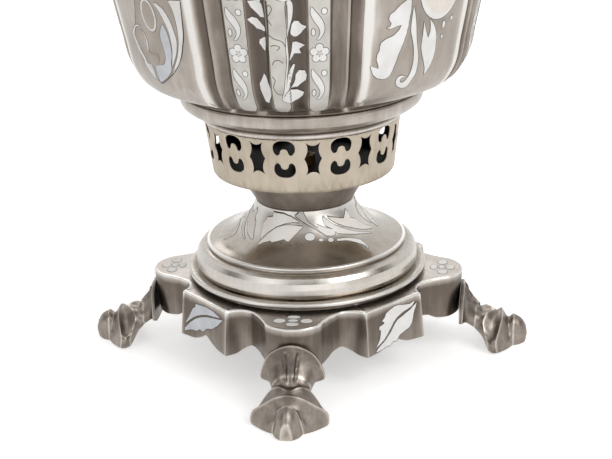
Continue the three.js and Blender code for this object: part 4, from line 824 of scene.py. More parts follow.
def oval(u, v, halfWidth, halfHeight, start=0.0, end=180.0, count=25):
    # An oval as pairs of points at equal height.
    a = np.radians(np.linspace(start, end, count))
    return [[u - halfWidth * math.sin(t), v + halfHeight * math.cos(t), u + halfWidth * math.sin(t),
             v + halfHeight * math.cos(t)] for t in a]


def onPanel(centre):
    # u is the arc in mm from the panel's middle, so the angle is u / radius, and v is the height.
    def place(u, v, lift):
        r = np.interp(v, bodyLine[:, 1], bodyLine[:, 0])
        return bodyPoint(centre + np.degrees(u / r), v, lift)
    return place


def onStrip(centre):
    # u is the angle in degrees from the strip group's middle and v the height.
    return lambda u, v, lift: bodyPoint(centre + u, v, lift)


def onBell(turn):
    # u is the angle from the middle of a run of leaves and v the radius on the flare; the lift
    # goes along the flare's normal.
    order = np.argsort(bellFlare[:, 0])
    r, z = bellFlare[order, 0], bellFlare[order, 1]
    slope = np.gradient(z, r)

    def place(u, v, lift):
        a = np.radians(u + turn)
        tilt = np.interp(v, r, slope)
        length = np.sqrt(1 + tilt ** 2)
        out = v - lift * tilt / length
        return np.stack([out * np.cos(a), out * np.sin(a), np.interp(v, r, z) + lift / length], -1)
    return place


def onFlat(turn):
    # u runs to the viewer's right along the flat and v is the height; the surface bows out by
    # flare * (u / half width)^2 towards its lower edge.
    def place(u, v, lift):
        p = plinth
        share = np.clip((p["top"] - p["edge"] - v) / (p["drop"] - p["edge"]), 0, 1)
        out = p["flare"] * (u / p["flatHalf"]) ** 2 * share
        flatOn = np.stack([-u - out * u / p["flat"], p["flat"] + out + lift, v], -1)
        return moved(flatOn, turn=turn)
    return place


def onNose(turn):
    # u runs across the nose and v out along it, on the plinth's level top.
    return lambda u, v, lift: moved(np.stack([u, v, 0 * u + plinth["top"] + lift], -1), turn=turn)


# Outlines, read as pairs of points on a leaf's two edges: [left u, left v, right u, right v], in mm.
# On the strips and the bell u is in degrees.
blades = {
    "acanthus": [
        [-11.5, 206, -9, 205.6], [-14.6, 204.3, -8.8, 204.4], [-18, 201.2, -8.7, 202.6],
        [-20.1, 199.9, -8.5, 200.7], [-20.3, 197.7, -8.6, 199.2], [-18.7, 195.6, -8.8, 197.7],
        [-19.2, 194.3, -8.8, 196.8], [-20.9, 193.8, -8.8, 196.2], [-19, 193, -8.9, 195.8],
        [-16.9, 193.8, -9, 195.3], [-12.8, 194.3, -8.9, 193.7], [-13.9, 192, -9.2, 191.9],
        [-16.6, 189.6, -9.4, 189.7], [-20.5, 188.4, -10, 187.4], [-22.7, 187, -10.5, 185.3],
        [-23.3, 185.2, -11.2, 183.5], [-23.1, 183.3, -11.6, 181.9], [-24, 181.1, -12.4, 180],
        [-24.1, 178.8, -13, 177.7], [-22.9, 176, -13.8, 175.4], [-22.4, 173.6, -14.6, 173.3],
        [-23.8, 172.9, -14.9, 172.1], [-25.3, 174.3, -15.1, 171.7], [-27.1, 176, -15.4, 171.3],
        [-26.2, 173.8, -15.6, 170.5], [-24.9, 171.3, -16.3, 169.4], [-22.6, 169.5, -17.8, 168.7],
        [-19.4, 168.5, -19.1, 168.6]],
    "scrollStem": [
        [-7.3, 202.1, -7, 202], [-7.3, 198.7, -5.5, 197.9], [-7.3, 193.8, -4.3, 193.4],
        [-6.8, 190, -3.5, 189.5], [-5.3, 186.1, -2.6, 185.7], [-3.8, 181.8, -1.3, 181.3],
        [-3.1, 177.5, -0.2, 177], [-3.1, 173.7, -0, 172.8], [-3.8, 170, -0.5, 168.4],
        [-4.8, 167.6, -2.1, 165], [-6, 165.8, -3, 162.6], [-7.5, 164.9, -5.5, 161.6],
        [-8.8, 165.5, -9.2, 163], [-9.4, 166.7, -11.4, 165.3], [-8.7, 167.4, -11.3, 167.7],
        [-7.8, 167.7, -9.6, 168.8], [-7.1, 167.6, -7.5, 168.5], [-6.7, 167.7, -6.8, 168.1]],
    "bud": [
        [0.9, 186, 10.8, 184.3], [1, 181.9, 11.3, 180], [2.1, 177.9, 11.1, 176.2], [3.8, 173.7, 10, 172.9],
        [5.1, 170.3, 8.5, 169.9], [5.5, 168.2, 6.9, 167.8], [5.9, 166.7, 6, 166.7]],
    "budLeft": [
        [0.6, 193.8, 0.7, 193.8], [0.8, 190.1, 2.2, 190.2], [1, 185.8, 4.5, 185.3]],
    "budRight": [
        [4.4, 194.4, 4.7, 194.3], [5.3, 191.2, 7.3, 191.5], [5.6, 188, 9.5, 188],
        [4.7, 185.3, 10.9, 183.9]],
    "plumeA": [
        [21.2, 207.8, 28.8, 208.5], [23, 203.3, 28, 203.7], [23.4, 197.8, 27, 197.5],
        [22.9, 191.5, 25.9, 191.8], [21.6, 186.3, 24, 186.6], [19.6, 181.6, 21.5, 181.2],
        [17.6, 178.1, 18.5, 176.3], [13.5, 171.7, 13.2, 170.9]],
    "plumeB": [
        [10.7, 205.5, 12.7, 205.8], [13.2, 202.2, 16.7, 203.2], [15.6, 197.5, 19.4, 198.5],
        [17, 192.7, 20.6, 193.1], [17, 187.6, 20.9, 188.1], [16.2, 182.4, 19.1, 182.8],
        [14.6, 177.7, 16.3, 178], [13.6, 174.4, 13.8, 174.4]],
    "plumeC": [
        [13.7, 195.7, 14.1, 195.7], [11, 191.9, 15.5, 192.2], [10.1, 188, 16, 188.4],
        [10.4, 183.6, 15.8, 184.3], [10.4, 179.7, 15.1, 180.4], [9, 176.2, 13.4, 176.3],
        [4.4, 171.6, 12.4, 172.2], [0.2, 167.5, 8, 168.2], [-0.2, 164.3, 0.8, 164.4]],
    "plumeD": [
        [0.2, 173.1, 8.8, 174.6], [0.1, 170.8, 6.5, 171.6], [0.2, 168.2, 3.9, 168.2],
        [0.4, 165.6, 1.2, 165.4]],
    "wedge": [
        [-10.2, 173, -8.8, 173.5], [-7.8, 170, -2.9, 172.9], [-5, 166.9, -1.8, 170.5],
        [-2.1, 165.2, -2.1, 167.1], [-0.7, 163.9, -1.1, 165]],
    "greyLeaf": [
        [-3.4, 181, -1.8, 178.4], [-4.5, 177.9, 3.7, 179.3], [-4.8, 175.2, 4.7, 177.2],
        [-4.4, 173.6, 3.9, 175.1], [-2.9, 172.9, 2.1, 173.7], [-0, 172.8, 0.7, 173]],
    "curl": [
        [-5.3, 192.7, -7, 191.7], [-9.6, 192.1, -9.8, 191.3], [-13.7, 189.6, -11.4, 190],
        [-16.2, 186.3, -14.1, 186.5], [-15.7, 182.4, -12.9, 183.3], [-13.5, 178.2, -11.1, 179.1],
        [-10.5, 174.8, -8.3, 175.8], [-8.1, 170.6, -5.8, 171.7], [-4.1, 166, -2.4, 167]],
    "curlIn": [
        [-6.5, 190.2, -5.6, 190.4], [-4.5, 189.6, -3.6, 189.4], [-3.2, 186.6, -2, 186.6],
        [-3.5, 183, -2.1, 183.2], [-4.5, 177.9, -3.3, 178.1], [-3.5, 174.1, -2.2, 174.6]],
    "stripeStem": [
        [-2.5, 210.4, -2.1, 210.5], [-2.5, 203.4, -2, 203.4], [-2.6, 194.9, -2.1, 194.9],
        [-2.9, 185, -2.5, 185], [-3.4, 172.3, -3, 172.3]],
    "leafL1": [
        [-6.9, 210, -4.1, 210.4], [-6.2, 207, -3.1, 208.5], [-4.9, 204.6, -2.7, 205.5],
        [-3.6, 202.2, -2.5, 202.2]],
    "leafL2": [
        [-7.3, 201.2, -7.2, 201.4], [-6.6, 199.6, -6.1, 202.3], [-5.8, 198.4, -4.7, 201.6],
        [-5, 196.8, -3.4, 199], [-3.6, 196.1, -2.6, 197.5], [-2.8, 195.5, -2.5, 196.1]],
    "leafL3": [
        [-2.9, 192.9, -2.7, 192.9], [-4.4, 191.5, -2.7, 191.2], [-4.7, 189.8, -2.7, 189.7],
        [-4, 187.9, -2.8, 188], [-3.2, 186.1, -3, 186.1]],
    "leafL4": [
        [-4.1, 174.5, -3.9, 174.5], [-5, 171.6, -3.3, 172.8], [-5.7, 169.7, -3, 170.4],
        [-5.6, 166.4, -2.2, 167.2], [-5.1, 162.9, -2.4, 163.4], [-4.7, 159.9, -3.7, 159]],
    "leafR1": [
        [4.2, 210.2, 4.8, 210.2], [3.5, 207.8, 5.4, 207.8], [3.5, 203.3, 5.2, 202.7],
        [3.6, 198.5, 4.5, 198.5], [3.6, 194.8, 3.9, 194.7], [3.6, 193, 3.6, 193]],
    "leafR2": [
        [5.7, 200.2, 6.8, 200.1], [5, 198.7, 7.7, 198.4], [4.7, 196.6, 9, 197.6], [4.5, 194.8, 8.1, 195.8],
        [4.8, 193.6, 7.3, 194.1], [5.4, 192.8, 6.2, 192.8]],
    "leafR3": [
        [5, 190.2, 6, 190.3], [4.8, 188.6, 8.5, 188.6], [4.7, 187.1, 6.8, 186.7], [4.6, 185.9, 7.3, 184.5],
        [4.3, 184.3, 5.3, 184.6], [3.9, 181.2, 4, 181.2]],
    "leafR4": [
        [4.9, 179.4, 5.4, 179.1], [3.7, 176.1, 4.9, 176.4], [3.1, 172.3, 4.2, 172.3],
        [2.7, 168.5, 4, 170.4], [2, 164.2, 3.3, 167.1]],
    "leafR5": [
        [6.6, 176.3, 8.3, 176.2], [5.5, 174.2, 8.8, 174], [5.3, 171.6, 8.5, 171.4], [4.9, 170, 7.2, 169.9],
        [3.9, 167.8, 5.8, 168]],
    "leafR6": [
        [3.9, 167.1, 5.6, 166.7], [2.5, 164.9, 7.9, 165.1], [1.7, 162.7, 7.3, 163],
        [1.2, 160.8, 5.8, 161.2], [2.5, 160, 4.2, 160.1]],
    "stalkR": [
        [3.2, 192.4, 3.5, 192.4], [3.1, 186.2, 3.6, 186.2], [3.2, 181.2, 3.6, 181.2],
        [2.6, 173.6, 3, 173.6], [2, 167.2, 2.5, 167.2], [1, 161.5, 1.4, 161.5]],
    "bellLeafUp": [
        [-42.3, 36.1, -41.4, 36.5], [-46, 32.4, -40.3, 34.5], [-48.1, 30.1, -38.2, 32.8],
        [-44.7, 28.3, -34.8, 31.4], [-38.2, 27.9, -30.8, 30.3], [-38.2, 27.1, -28.6, 29.9],
        [-24.9, 27.1, -21.8, 29], [-15.2, 27.5, -13.9, 28.6], [-10.6, 28, -10, 28.6],
        [-6.9, 28.5, -6.7, 28.6]],
    "bellLeafLow": [
        [-40.8, 39.6, -40.3, 39.7], [-40.1, 36.5, -37.1, 37.7], [-37.4, 33.4, -31.7, 36.1],
        [-33.2, 31.3, -29.9, 36.8], [-29.1, 30.3, -24.7, 35.7], [-23.1, 29.6, -19.7, 34.5],
        [-18.4, 29.4, -17.5, 35.4], [-15.2, 29.4, -15.3, 35.5], [-10.6, 29.4, -10.9, 32.7],
        [-6, 29.6, -6.2, 30.8], [-3, 29.7, -3, 29.8]],
    "bellPetal": [
        [11.9, 29.4, 11.2, 30.2], [19.7, 30.5, 16.2, 32.3], [26.5, 31.6, 20.9, 33.7],
        [28.2, 32.2, 25.1, 33.9], [27.9, 32.8, 27.2, 33.3]],
    "bellLeaf3Up": [
        [24.4, 27.8, 24.5, 28], [35, 28.5, 32.9, 29.9], [43.5, 29.2, 37.1, 30.7], [50.8, 27.4, 39.1, 31.2],
        [53.6, 28.2, 42.8, 31.9], [52.9, 29.7, 47.1, 32.8], [60, 30.8, 52.7, 34.1],
        [63.4, 32.9, 58.3, 35.7], [71.2, 37.4, 69.2, 37.8]],
    "bellLeaf3Low": [
        [19.4, 27.6, 17.8, 28.3], [24, 28.6, 19.4, 29.8], [29.9, 30.2, 25.4, 31.1],
        [37.2, 31.9, 30.1, 33.4], [44.8, 33.9, 39.6, 34.9], [55.2, 36.8, 51, 36.8], [63.4, 38.9, 61.5, 39]],
    "bellLeaf4": [
        [26.4, 35.7, 26.2, 36.7], [37.1, 36.7, 36.5, 38.2], [45.8, 39.6, 44.4, 42.6],
        [46.2, 44.9, 44.7, 46.2]],
    "bellStem": [
        [-11.9, 27.3, -9.1, 27], [-7, 27.8, -3.2, 26.7], [1.4, 29.1, 3.8, 28.8], [9.7, 30.7, 11.4, 30.4],
        [16.5, 32.9, 18.2, 32.5], [19.4, 33.9, 20.2, 33.7]],
    "flatRightUp": [
        [-13, 22.3, -12.9, 22.2], [-11.4, 24.1, -9.8, 23.4], [-10.2, 25.8, -7, 24.7],
        [-9.4, 29, -5.6, 26.1], [-9.4, 30.6, -4.2, 27.4], [-10.6, 31.6, -3.3, 28.6],
        [-10.2, 32.9, -2.4, 29.5], [-6.9, 33.6, -1.1, 31.1], [-6.9, 34.5, -0.4, 31.9],
        [-8.3, 35.4, -0.1, 32.6], [-6.1, 37.3, 1, 33.4], [-5.4, 38.8, 2.6, 34.6], [-3.3, 39.9, 4.7, 35.6],
        [0.2, 41.1, 7.2, 36.5], [3.7, 41.1, 9.6, 36.9], [7.6, 40, 11.5, 37.5], [11.6, 39.4, 13, 38.1],
        [14.4, 40.3, 14.5, 39.7]],
    "flatRightLow": [
        [-13.2, 19.9, -13, 19.7], [-11.8, 21.2, -9.6, 19.6], [-9.9, 22.2, -4.6, 20.2],
        [-7.6, 23.2, -2.9, 20], [-5.6, 24.4, -0.3, 21.8], [-3.9, 25.9, 1.5, 21.1], [-2.2, 27.4, 3.9, 23.8],
        [-0.6, 29.5, 6.4, 24.8], [0.8, 31.3, 10.4, 26.3], [2.9, 33.1, 12.2, 28.3], [5.8, 34, 12.9, 30.4],
        [8.7, 35.2, 13.6, 33.4], [11.5, 36.1, 14.1, 34.7], [13.7, 37.5, 15.1, 36.5],
        [15.9, 38.7, 16, 38.5]],
    "flatLeftUp": [
        [-16.6, 26.2, -16.1, 26.1], [-14.1, 29.7, -12.8, 28.9], [-12.4, 32.8, -9.4, 31.4],
        [-10.2, 36.1, -6.9, 32.7], [-8.4, 37, -5.4, 33.3], [-7.7, 39.2, -3.9, 34], [-3.9, 39.6, -2.1, 34.7],
        [1.7, 40.2, 2.5, 36], [7.2, 39.9, 8.1, 36.9], [11.5, 38.8, 11.4, 37.5], [13.9, 38.2, 13.9, 38]],
    "flatLeftLow": [
        [-16.9, 22.9, -17, 21.2], [-13, 27.1, -12.5, 23.1], [-8.2, 30.6, -8, 23.5],
        [-4.7, 32.3, -5.4, 25.3], [-0.5, 33.9, -2.3, 24.7], [2.9, 34.8, 1.1, 27.7], [6.9, 35.7, 6.3, 29.3],
        [11.3, 36.5, 11.6, 32.9], [16.2, 37.5, 16.3, 37.3]],
}
# These have curved edges; the others are straight from point to point.
smoothBlades = ("scrollStem", "bud", "budLeft", "budRight", "plumeA", "plumeB", "plumeC", "plumeD", "curl",
                "curlIn", "greyLeaf", "leafR1", "leafR2", "leafR4", "stalkR", "bellStem", "bellPetal",
                "bellLeaf4")
# How far each layer of ornament stands over the metal.
raised = {"ground": 0.03, "line": 0.06, "frost": 0.1, "curl": 0.13, "cameo": 0.14}


def inlay(name, place, parts, slot="engraved_plate", rim=0.3, aspect=1.0):
    # parts: (table, material, smooth). Every blade gets a dark engraved line round it.
    lines, byMaterial = [], {}
    for table, material, smooth in parts:
        lift = raised["ground"] if material is frostedGround else raised["frost"]
        edge = raised["ground"] - 0.01 if material is frostedGround else raised["line"]
        lines.append(outlined(table, place, edge, rim, smooth, aspect))
        kept = byMaterial.setdefault(material.name, (material, []))[1]
        kept.append(blade(table, place, lift, smooth, aspect))
    makePiece(name + "_lines", "base", slot, engraved, lines, outward=False, weld=0)
    for material, grids in byMaterial.values():
        makePiece(name + "_" + material.name, "base", slot, material, grids, outward=False, weld=0)


def stroke(points, half, aspect):
    # A fine engraved line as pairs of points: each point steps half the width to both sides,
    # square to the smooth line through the given ones.
    line = smoothProfile(np.asarray(points, float) * [aspect, 1], 6 * len(points))
    along = np.gradient(line, axis=0)
    along /= np.linalg.norm(along, axis=1, keepdims=True)
    side = np.stack([-along[:, 1], along[:, 0]], -1) * half
    return np.concatenate([(line + side) / [aspect, 1], (line - side) / [aspect, 1]], 1)


def named(*names, material=frosted, level=None):
    # Tables by name, upside down round a level if one is given.
    chosen = [(blades[n], n in smoothBlades) for n in names]
    return [(flipped(t, level) if level else t, material, smooth) for t, smooth in chosen]


medallion = {"u": 9.1, "v": 213.0, "tapSideV": 229.0, "halfWidth": 15.2, "halfHeight": 19.4, "crescentHighlight": 1.3,
             "rim": 1.2}
cartouche = {"middle": (4.4, 199.0), "frame": (5.6, 8.2), "well": (4.4, 7.0)}


def medallionParts(level):
    # The frosted disc and the yellowed one on it, set aside so that a pale crescent is left at its rim:
    # a painted highlight.
    m = medallion
    inside = oval(m["u"] + m["crescentHighlight"], level + m["crescentHighlight"], m["halfWidth"] - m["rim"],
                  m["halfHeight"] - m["rim"])
    disc = oval(m["u"], level, m["halfWidth"], m["halfHeight"])
    return [(disc, frosted, True), (inside, frostedCream, True)]


dots = [oval(15.0, 190.1, 1.0, 1.9, count=9), oval(20.8, 192.3, 0.9, 1.1, count=9),
        oval(14.9, 184.1, 0.8, 1.0, count=9)]
panelShift = -1.4  # the photo's panels stand this far beside the middle they were measured from


def addPanels():
    # The tap's panel has only the upper half of the leaves, over the tap's rosette.
    leaves = ("acanthus", "scrollStem", "bud", "budLeft", "budRight")
    for turn in (90, 270):
        level = medallion["v" if turn == 90 else "tapSideV"]
        parts = named(*leaves, level=level) + [(flipped(d, level), frosted, True) for d in dots]
        if turn == 90:
            parts += named(*leaves) + [(d, frosted, True) for d in dots]
        parts = [([[a + panelShift, b, c + panelShift, d] for a, b, c, d in t], m, k) for t, m, k in parts]
        rings = medallionParts(level)
        inlay("panelMedallion_%d" % turn, onPanel(turn), rings[:1])
        inlay("panelLeaves_%d" % turn, onPanel(turn), parts)
        grids = [blade(rings[1][0], onPanel(turn), raised["cameo"], True)]
        makePiece("panelCameo_%d" % turn, "base", "engraved_plate", frostedCream, grids, outward=False,
                  weld=0)
    back = [[-4, 207.5, 28.8, 208.5], [-6, 201, 28, 203.5], [-9.8, 192.2, 26.2, 192.3],
            [-14.6, 187.5, 24.2, 187], [-16, 183, 22, 182], [-13.2, 178, 18.8, 177],
            [-9.5, 173, 13.6, 171.5], [-5, 167.5, 6.5, 166.8], [-0.9, 164, 0.6, 163.9]]
    frame, well = (oval(*cartouche["middle"], *cartouche[part]) for part in ("frame", "well"))
    for turn in (0, 180):
        inlay("panelGround_%d" % turn, onPanel(turn), [(back, frostedGround, True)], rim=0.5)
        inlay("panelScroll_%d" % turn, onPanel(turn),
              named("plumeA", "plumeB") + named("plumeC", "plumeD", "wedge", material=frostedCool)
              + named("curl", "curlIn") + [(frame, frosted, True)])
        makePiece("panelWell_%d" % turn, "base", "engraved_plate", frostedGround,
                  [blade(t, onPanel(turn), raised["cameo"], True) for t in (well, blades["greyLeaf"])],
                  outward=False, weld=0)


addPanels()

sideLeaf = [[-2.2, 7.4, -2.0, 7.4], [-2.4, 4.9, -1.0, 5.1], [-2.0, 2.4, 0.2, 2.6], [-1.1, -0.1, 1.0, 0.2],
            [-0.2, -2.4, 1.4, -2.2], [0.2, -4.6, 1.3, -4.5], [-0.1, -6.6, 0.8, -6.4],
            [-0.8, -8.1, -0.2, -8.4]]
centreCurls = [
    [[-2.4, 207.2], [-1.8, 208.2], [-1.1, 206.7], [-1.7, 204.2], [-2.4, 202.4], [-1.4, 198.6]],
    [[-2.5, 194.2], [-1.2, 192.4], [1.4, 190.5], [2.2, 188]],
    [[-2.1, 188.6], [-0.7, 189], [0.5, 188], [-0.4, 186.5]],
    [[-2.0, 179.4], [-1.2, 181.4], [0.2, 181.6], [1.2, 180.2]],
    [[-2.2, 173.8], [-1.5, 172], [-2.1, 168.2], [-0.5, 164.4], [0.6, 164.4]]]
# Heights in mm of leaves and flowers, and how far each spray is moved up. Across is in degrees, and
# one of them is 1.6 mm long here. Berries: across and up from the leaf's middle, half width, half height.
strips = {"leaf": (169.6, 199.5, 229.4, 259.3, 289.2), "flower": (184.6, 214.5, 244.4, 274.3),
          "centre": (0, 50, 100), "side": 11.7, "sideHalf": 2.95, "centreHalf": 2.6, "top": 311, "low": 156.5,
          "point": 151.8, "degree": 1.6, "leafShift": -0.85, "stemShift": -0.2, "curlHalf": 0.17,
          "over": 0.05, "berries": ((1.35, 5.2, 0.75, 1.4), (-1.7, -4.6, 0.5, 1.7))}
flower = {"petals": 5, "across": 1.7, "up": 2.9, "petal": (1.05, 1.75), "heart": (0.7, 1.2)}


def stripGround(middle, half):
    # A long band of even width that runs to a point over the body's foot.
    t = strips
    rows = [[middle - half, v, middle + half, v] for v in np.linspace(t["top"], t["low"], 130)]
    return rows + [[middle - half * w, v, middle + half * w, v] for w, v in (
        (0.8, t["low"] - 1.6), (0.4, t["point"] + 1.3), (0.03, t["point"]))]


def addStrips():
    # Each group has two side bands of leaves and flowers and a middle band of three sprays; the
    # petals stand on an oval round the flower's middle.
    names = ("leafL1", "leafL2", "leafL3", "leafL4", "leafR1", "leafR2", "leafR3", "leafR4", "leafR5",
             "leafR6", "stalkR")
    t, f = strips, flower
    for k in range(4):
        place = onStrip(45 + 90 * k)
        grounds = [(stripGround(way * t["side"], t["sideHalf"]), frostedSoft, False) for way in (-1, 1)]
        grounds.append((stripGround(0, t["centreHalf"]), frostedSoft, False))
        leaves, stems = [], []
        for way in (1, -1):
            middle = t["side"] * way
            for v in t["leaf"]:
                leaf = [[middle + a, v + b, middle + c, v + d] for a, b, c, d in sideLeaf]
                leaves.append((leaf, frosted, True))
                for across, up, *halves in t["berries"]:
                    leaves.append((oval(middle + across, v + up, *halves, count=9), frosted, True))
            for v in t["flower"]:
                for p in range(f["petals"]):
                    a = math.radians(90 + 360 / f["petals"] * p)
                    across, up = f["across"] * math.cos(a), f["up"] * math.sin(a)
                    leaves.append((oval(middle + across, v + up, *f["petal"], count=9), frosted, True))
                leaves.append((oval(middle, v, *f["heart"], count=9), frostedSoft, True))
        for up in t["centre"]:
            for n in names:
                leaf = np.array(blades[n]) + np.array([t["leafShift"], up, t["leafShift"], up])
                leaves.append((leaf, frosted, n in smoothBlades))
            stem = np.array(blades["stripeStem"]) + np.array([t["stemShift"], up, t["stemShift"], up])
            stems.append(blade(stem, place, raised["curl"], True, t["degree"]))
            for curl in centreCurls:
                table = stroke(np.array(curl) + [0, up], t["curlHalf"], t["degree"])
                stems.append([place(table[:, ::2], table[:, 1::2], raised["curl"]), False, False])
        inlay("stripGround_%d" % k, place, grounds, rim=0.25, aspect=t["degree"])
        inlay("stripLeaves_%d" % k, lambda u, v, lift: place(u, v, lift + t["over"]), leaves, rim=0.28,
              aspect=t["degree"])
        makePiece("stripStem_%d" % k, "base", "engraved_plate", engraved, stems, outward=False, weld=0)


addStrips()


# Across and out along the nose, half width and half length.
nosePetals = ((0, 78.9, 3.3, 2.3), (6.9, 74.6, 3.1, 2.6), (-6.9, 74.6, 3.1, 2.6), (0, 74.2, 2.6, 1.6),
              (0, 69.9, 3.3, 1.9))


def addFootOrnament():
    # Three runs of leaves on the bell, a leaf on each flat and five petals on each nose.
    names = ("bellLeafUp", "bellLeafLow", "bellPetal", "bellLeaf3Up", "bellLeaf3Low", "bellLeaf4")
    for k in range(bell["runs"]):
        place = onBell(bell["leavesAt"] + 360 / bell["runs"] * k)
        # The bell's leaves take the brighter frosting: painted light, as they lie in shade under the body.
        parts = named(*names, material=frostedPaintedBright)
        parts += [(oval(*b, count=9), frosted, True) for b in bell["berries"]]
        parts += [(blades["bellStem"], frostedSoft, True)]
        inlay("bellLeaves_%d" % k, place, parts, rim=0.22, aspect=0.7)
    for k, pair in enumerate((("flatRightUp", "flatRightLow"), ("flatLeftUp", "flatLeftLow")) * 2):
        material = frosted if k % 2 == 0 else frostedCool
        inlay("flatLeaf_%d" % k, onFlat((0, 270, 180, 90)[k]), named(*pair, material=material), rim=0.35)
    for k in range(4):
        petals = [(oval(*petal, count=9), frosted, True) for petal in nosePetals]
        inlay("nosePetals_%d" % k, onNose(-45 + 90 * k), petals, rim=0.25)


addFootOrnament()
print("ornament made")


def evenShade(line):
    # The same light tarnish all over, for pieces that are wiped often.
    return np.full(len(line), 0.1)


turnedPiece("shoulderRing", ["shoulder_ring"], "base", "plate", agedSheet,
            [[72.2, 316.2], [80.8, 316.2], [81.8, 318.3], [80.0, 320.2], [77.6, 322.2], [79.2, 324.8],
             [80.6, 326.6], [79.9, 328.2], [72.2, 328.2]], fillet=1.2, sides=200, shade=evenShade)
lid = {"rim": 80.5, "reach": 52.3, "base": 328.5, "height": 43.4, "stemsAt": 56, "ventAt": 54}
lidStem = {"radius": 3.4, "height": 20, "base": 338.3}
knob = {"radius": 8.6, "height": 17, "fillet": 2.4, "onLid": 358.6, "onCap": 404.7}
lidShares = [[0, 0], [-0.03, 0.03], [0, 0.065], [0.07, 0.08], [0.27, 0.22], [0.5, 0.36], [0.72, 0.57],
             [0.9, 0.81], [1, 0.9], [1, 1]]
lidPoints = [[lid["rim"] - lid["reach"] * i, lid["base"] + lid["height"] * u] for i, u in lidShares]
lidInside = [[28.2, 371.4], [27.9, 371.9], [26.9, 371.9], [26.7, 371.4], [26.7, 363.2], [41.6, 352.0],
             [53.1, 342.9], [65.2, 336.8], [70.7, 329.7], [70.7, 322], [71.9, 322], [71.9, 328.5]]
lidLine = np.concatenate([lidPoints[:4], smoothProfile(lidPoints[3:-1], 50)[1:], lidInside])
turnedPiece("lid", ["lid"], "lid", "plate", agedSheet, lidLine, fillet=0.5, sides=200,
            shade=lambda line: 0.15 + 0.3 * (line[:, 0] < 30))
stemShares = [[0, 0], [1.9, 0], [1.9, 0.35], [1, 0.52], [1.05, 0.75], [1.7, 0.88], [1.6, 1], [0, 1]]
knobShares = [[0, 0], [0.55, 0.02], [0.55, 0.16], [0.85, 0.27], [1, 0.5], [0.8, 0.82], [0.3, 1], [0, 1]]
for side, way in (("right", 1), ("left", -1)):
    beside = {"to": (lid["stemsAt"] * way, 0, 0)}
    turnedPiece("lidStem_" + side, ["lid_stem_" + side], "lid", "cast_plate", agedCast,
                shaped(stemShares, lidStem["radius"], lidStem["height"], lidStem["base"]), fillet=1.0,
                closed=False, sides=48, shade=evenShade, place=beside)
    turnedPiece("lidKnob_" + side, ["lid_knob_" + side], "lid", "turned_wood", ebonised,
                shaped(knobShares, knob["radius"], knob["height"], knob["onLid"]), fillet=knob["fillet"],
                closed=False, sides=64, place=beside)
turnedPiece("ventSeat", ["vent_seat"], "lid", "cast_plate", agedCast,
            [[4.4, 342], [5.6, 342], [5.6, 355.4], [4.4, 355.4]], fillet=0.3, sides=48, shade=evenShade,
            place={"to": (0, lid["ventAt"], 0)})
turnedPiece("ventCap", ["vent_cap"], "vent_cap", "cast_plate", agedCast,
            [[0, 355.7], [5.9, 355.7], [5.9, 350.5], [7.1, 350.5], [7.1, 356.6], [4.2, 358.4], [1.2, 358.4],
             [1.2, 361.4], [0, 361.4]], fillet=0.4, closed=False, sides=48, shade=evenShade,
            place={"to": (0, lid["ventAt"], 0)})
tubeLine = [[30, 137.9], [29.7, 146.1], [44, 146.1], [44, 147.6], [29.7, 147.6], [25.2, 387.9], [24, 387.9],
            [28.4, 149.4], [25.8, 149.4], [25.8, 147.9], [28.4, 147.9], [28.8, 137.9]]
turnedPiece("fireTube", ["fire_tube"], "base", "tinned_brass", tinnedSheet, tubeLine, fillet=0.3, sides=96)

crown = {"radius": 47.6, "height": 22, "seat": 388.2, "floor": 394.7, "wall": 1.3, "sleeve": 25.8, "cells": 8,
         "hole": 12, "flareShare": 0.16, "mouth": 21, "sleeveEnd": 375.9, "plate": 1.5}


def makeCrown():
    # Eight cells with a spade-shaped hole each; radius = low + (radius - low) * sqrt(share of height).
    c = crown
    low = c["radius"] - c["height"] * c["flareShare"]
    mean = (low + c["radius"]) / 2
    cell = 2 * math.pi * mean / c["cells"]

    def radiusAt(y):
        # The flare widens with the root of the height.
        return low + (c["radius"] - low) * np.sqrt(np.clip(y / c["height"], 0, 1))

    spade = np.array([[0, -1], [0.35, -0.5], [1, -0.1], [0.85, 0.4], [0, 1]])  # its right half
    right = smoothProfile(spade * c["hole"] / 2, 37)
    outline = np.concatenate([right[:-1], (right * [-1, 1])[:0:-1]])
    outline = np.roll(outline, -np.argmax(outline[:, 0]), 0) + [cell / 2, c["height"] / 2]
    part = holeCell(outline, boxLoop(0, cell, 0, c["height"], 24, 12), c["wall"])
    grids = []
    for k in range(c["cells"]):
        # The hole walls and the inside are darker: soot and painted shade.
        grids.append([bend(part, 360 / c["cells"] * (k + 0.5), mean, radiusAt, c["floor"]), False, True,
                      0.1 + 0.4 * (part[..., 2] > 0.2)])
    sides = 24 * c["cells"]
    angle = np.radians(180 / c["cells"]) + np.linspace(0, 2 * np.pi, sides, endpoint=False)
    outer, s = c["sleeve"] + c["wall"], c["seat"]
    bowl = np.array([[low, c["floor"]], [low - 2.2, c["floor"] - 3.2], [low - 6, c["floor"] - 4.9],
                     [outer + c["wall"], s], [outer, s - c["wall"]], [outer, c["sleeveEnd"]],
                     [c["sleeve"], c["sleeveEnd"]], [c["sleeve"], s], [c["mouth"], s],
                     [c["mouth"], s + c["plate"]], [c["sleeve"], s + c["plate"]],
                     [low - 6.5, c["floor"] - 3.4], [low - 3.2, c["floor"] - 1.9],
                     [low - c["wall"], c["floor"]]])
    brim = np.array([[radius, c["floor"] + c["height"]] for radius in (c["radius"], c["radius"] - c["wall"])])
    for line in (bowl, brim):
        grids.append(evenGrid(aroundAxis(line, angle)))
    return makePiece("crown", "crown", "plate", agedSheet, grids, ["crown"], weld=0.02, crease=40)


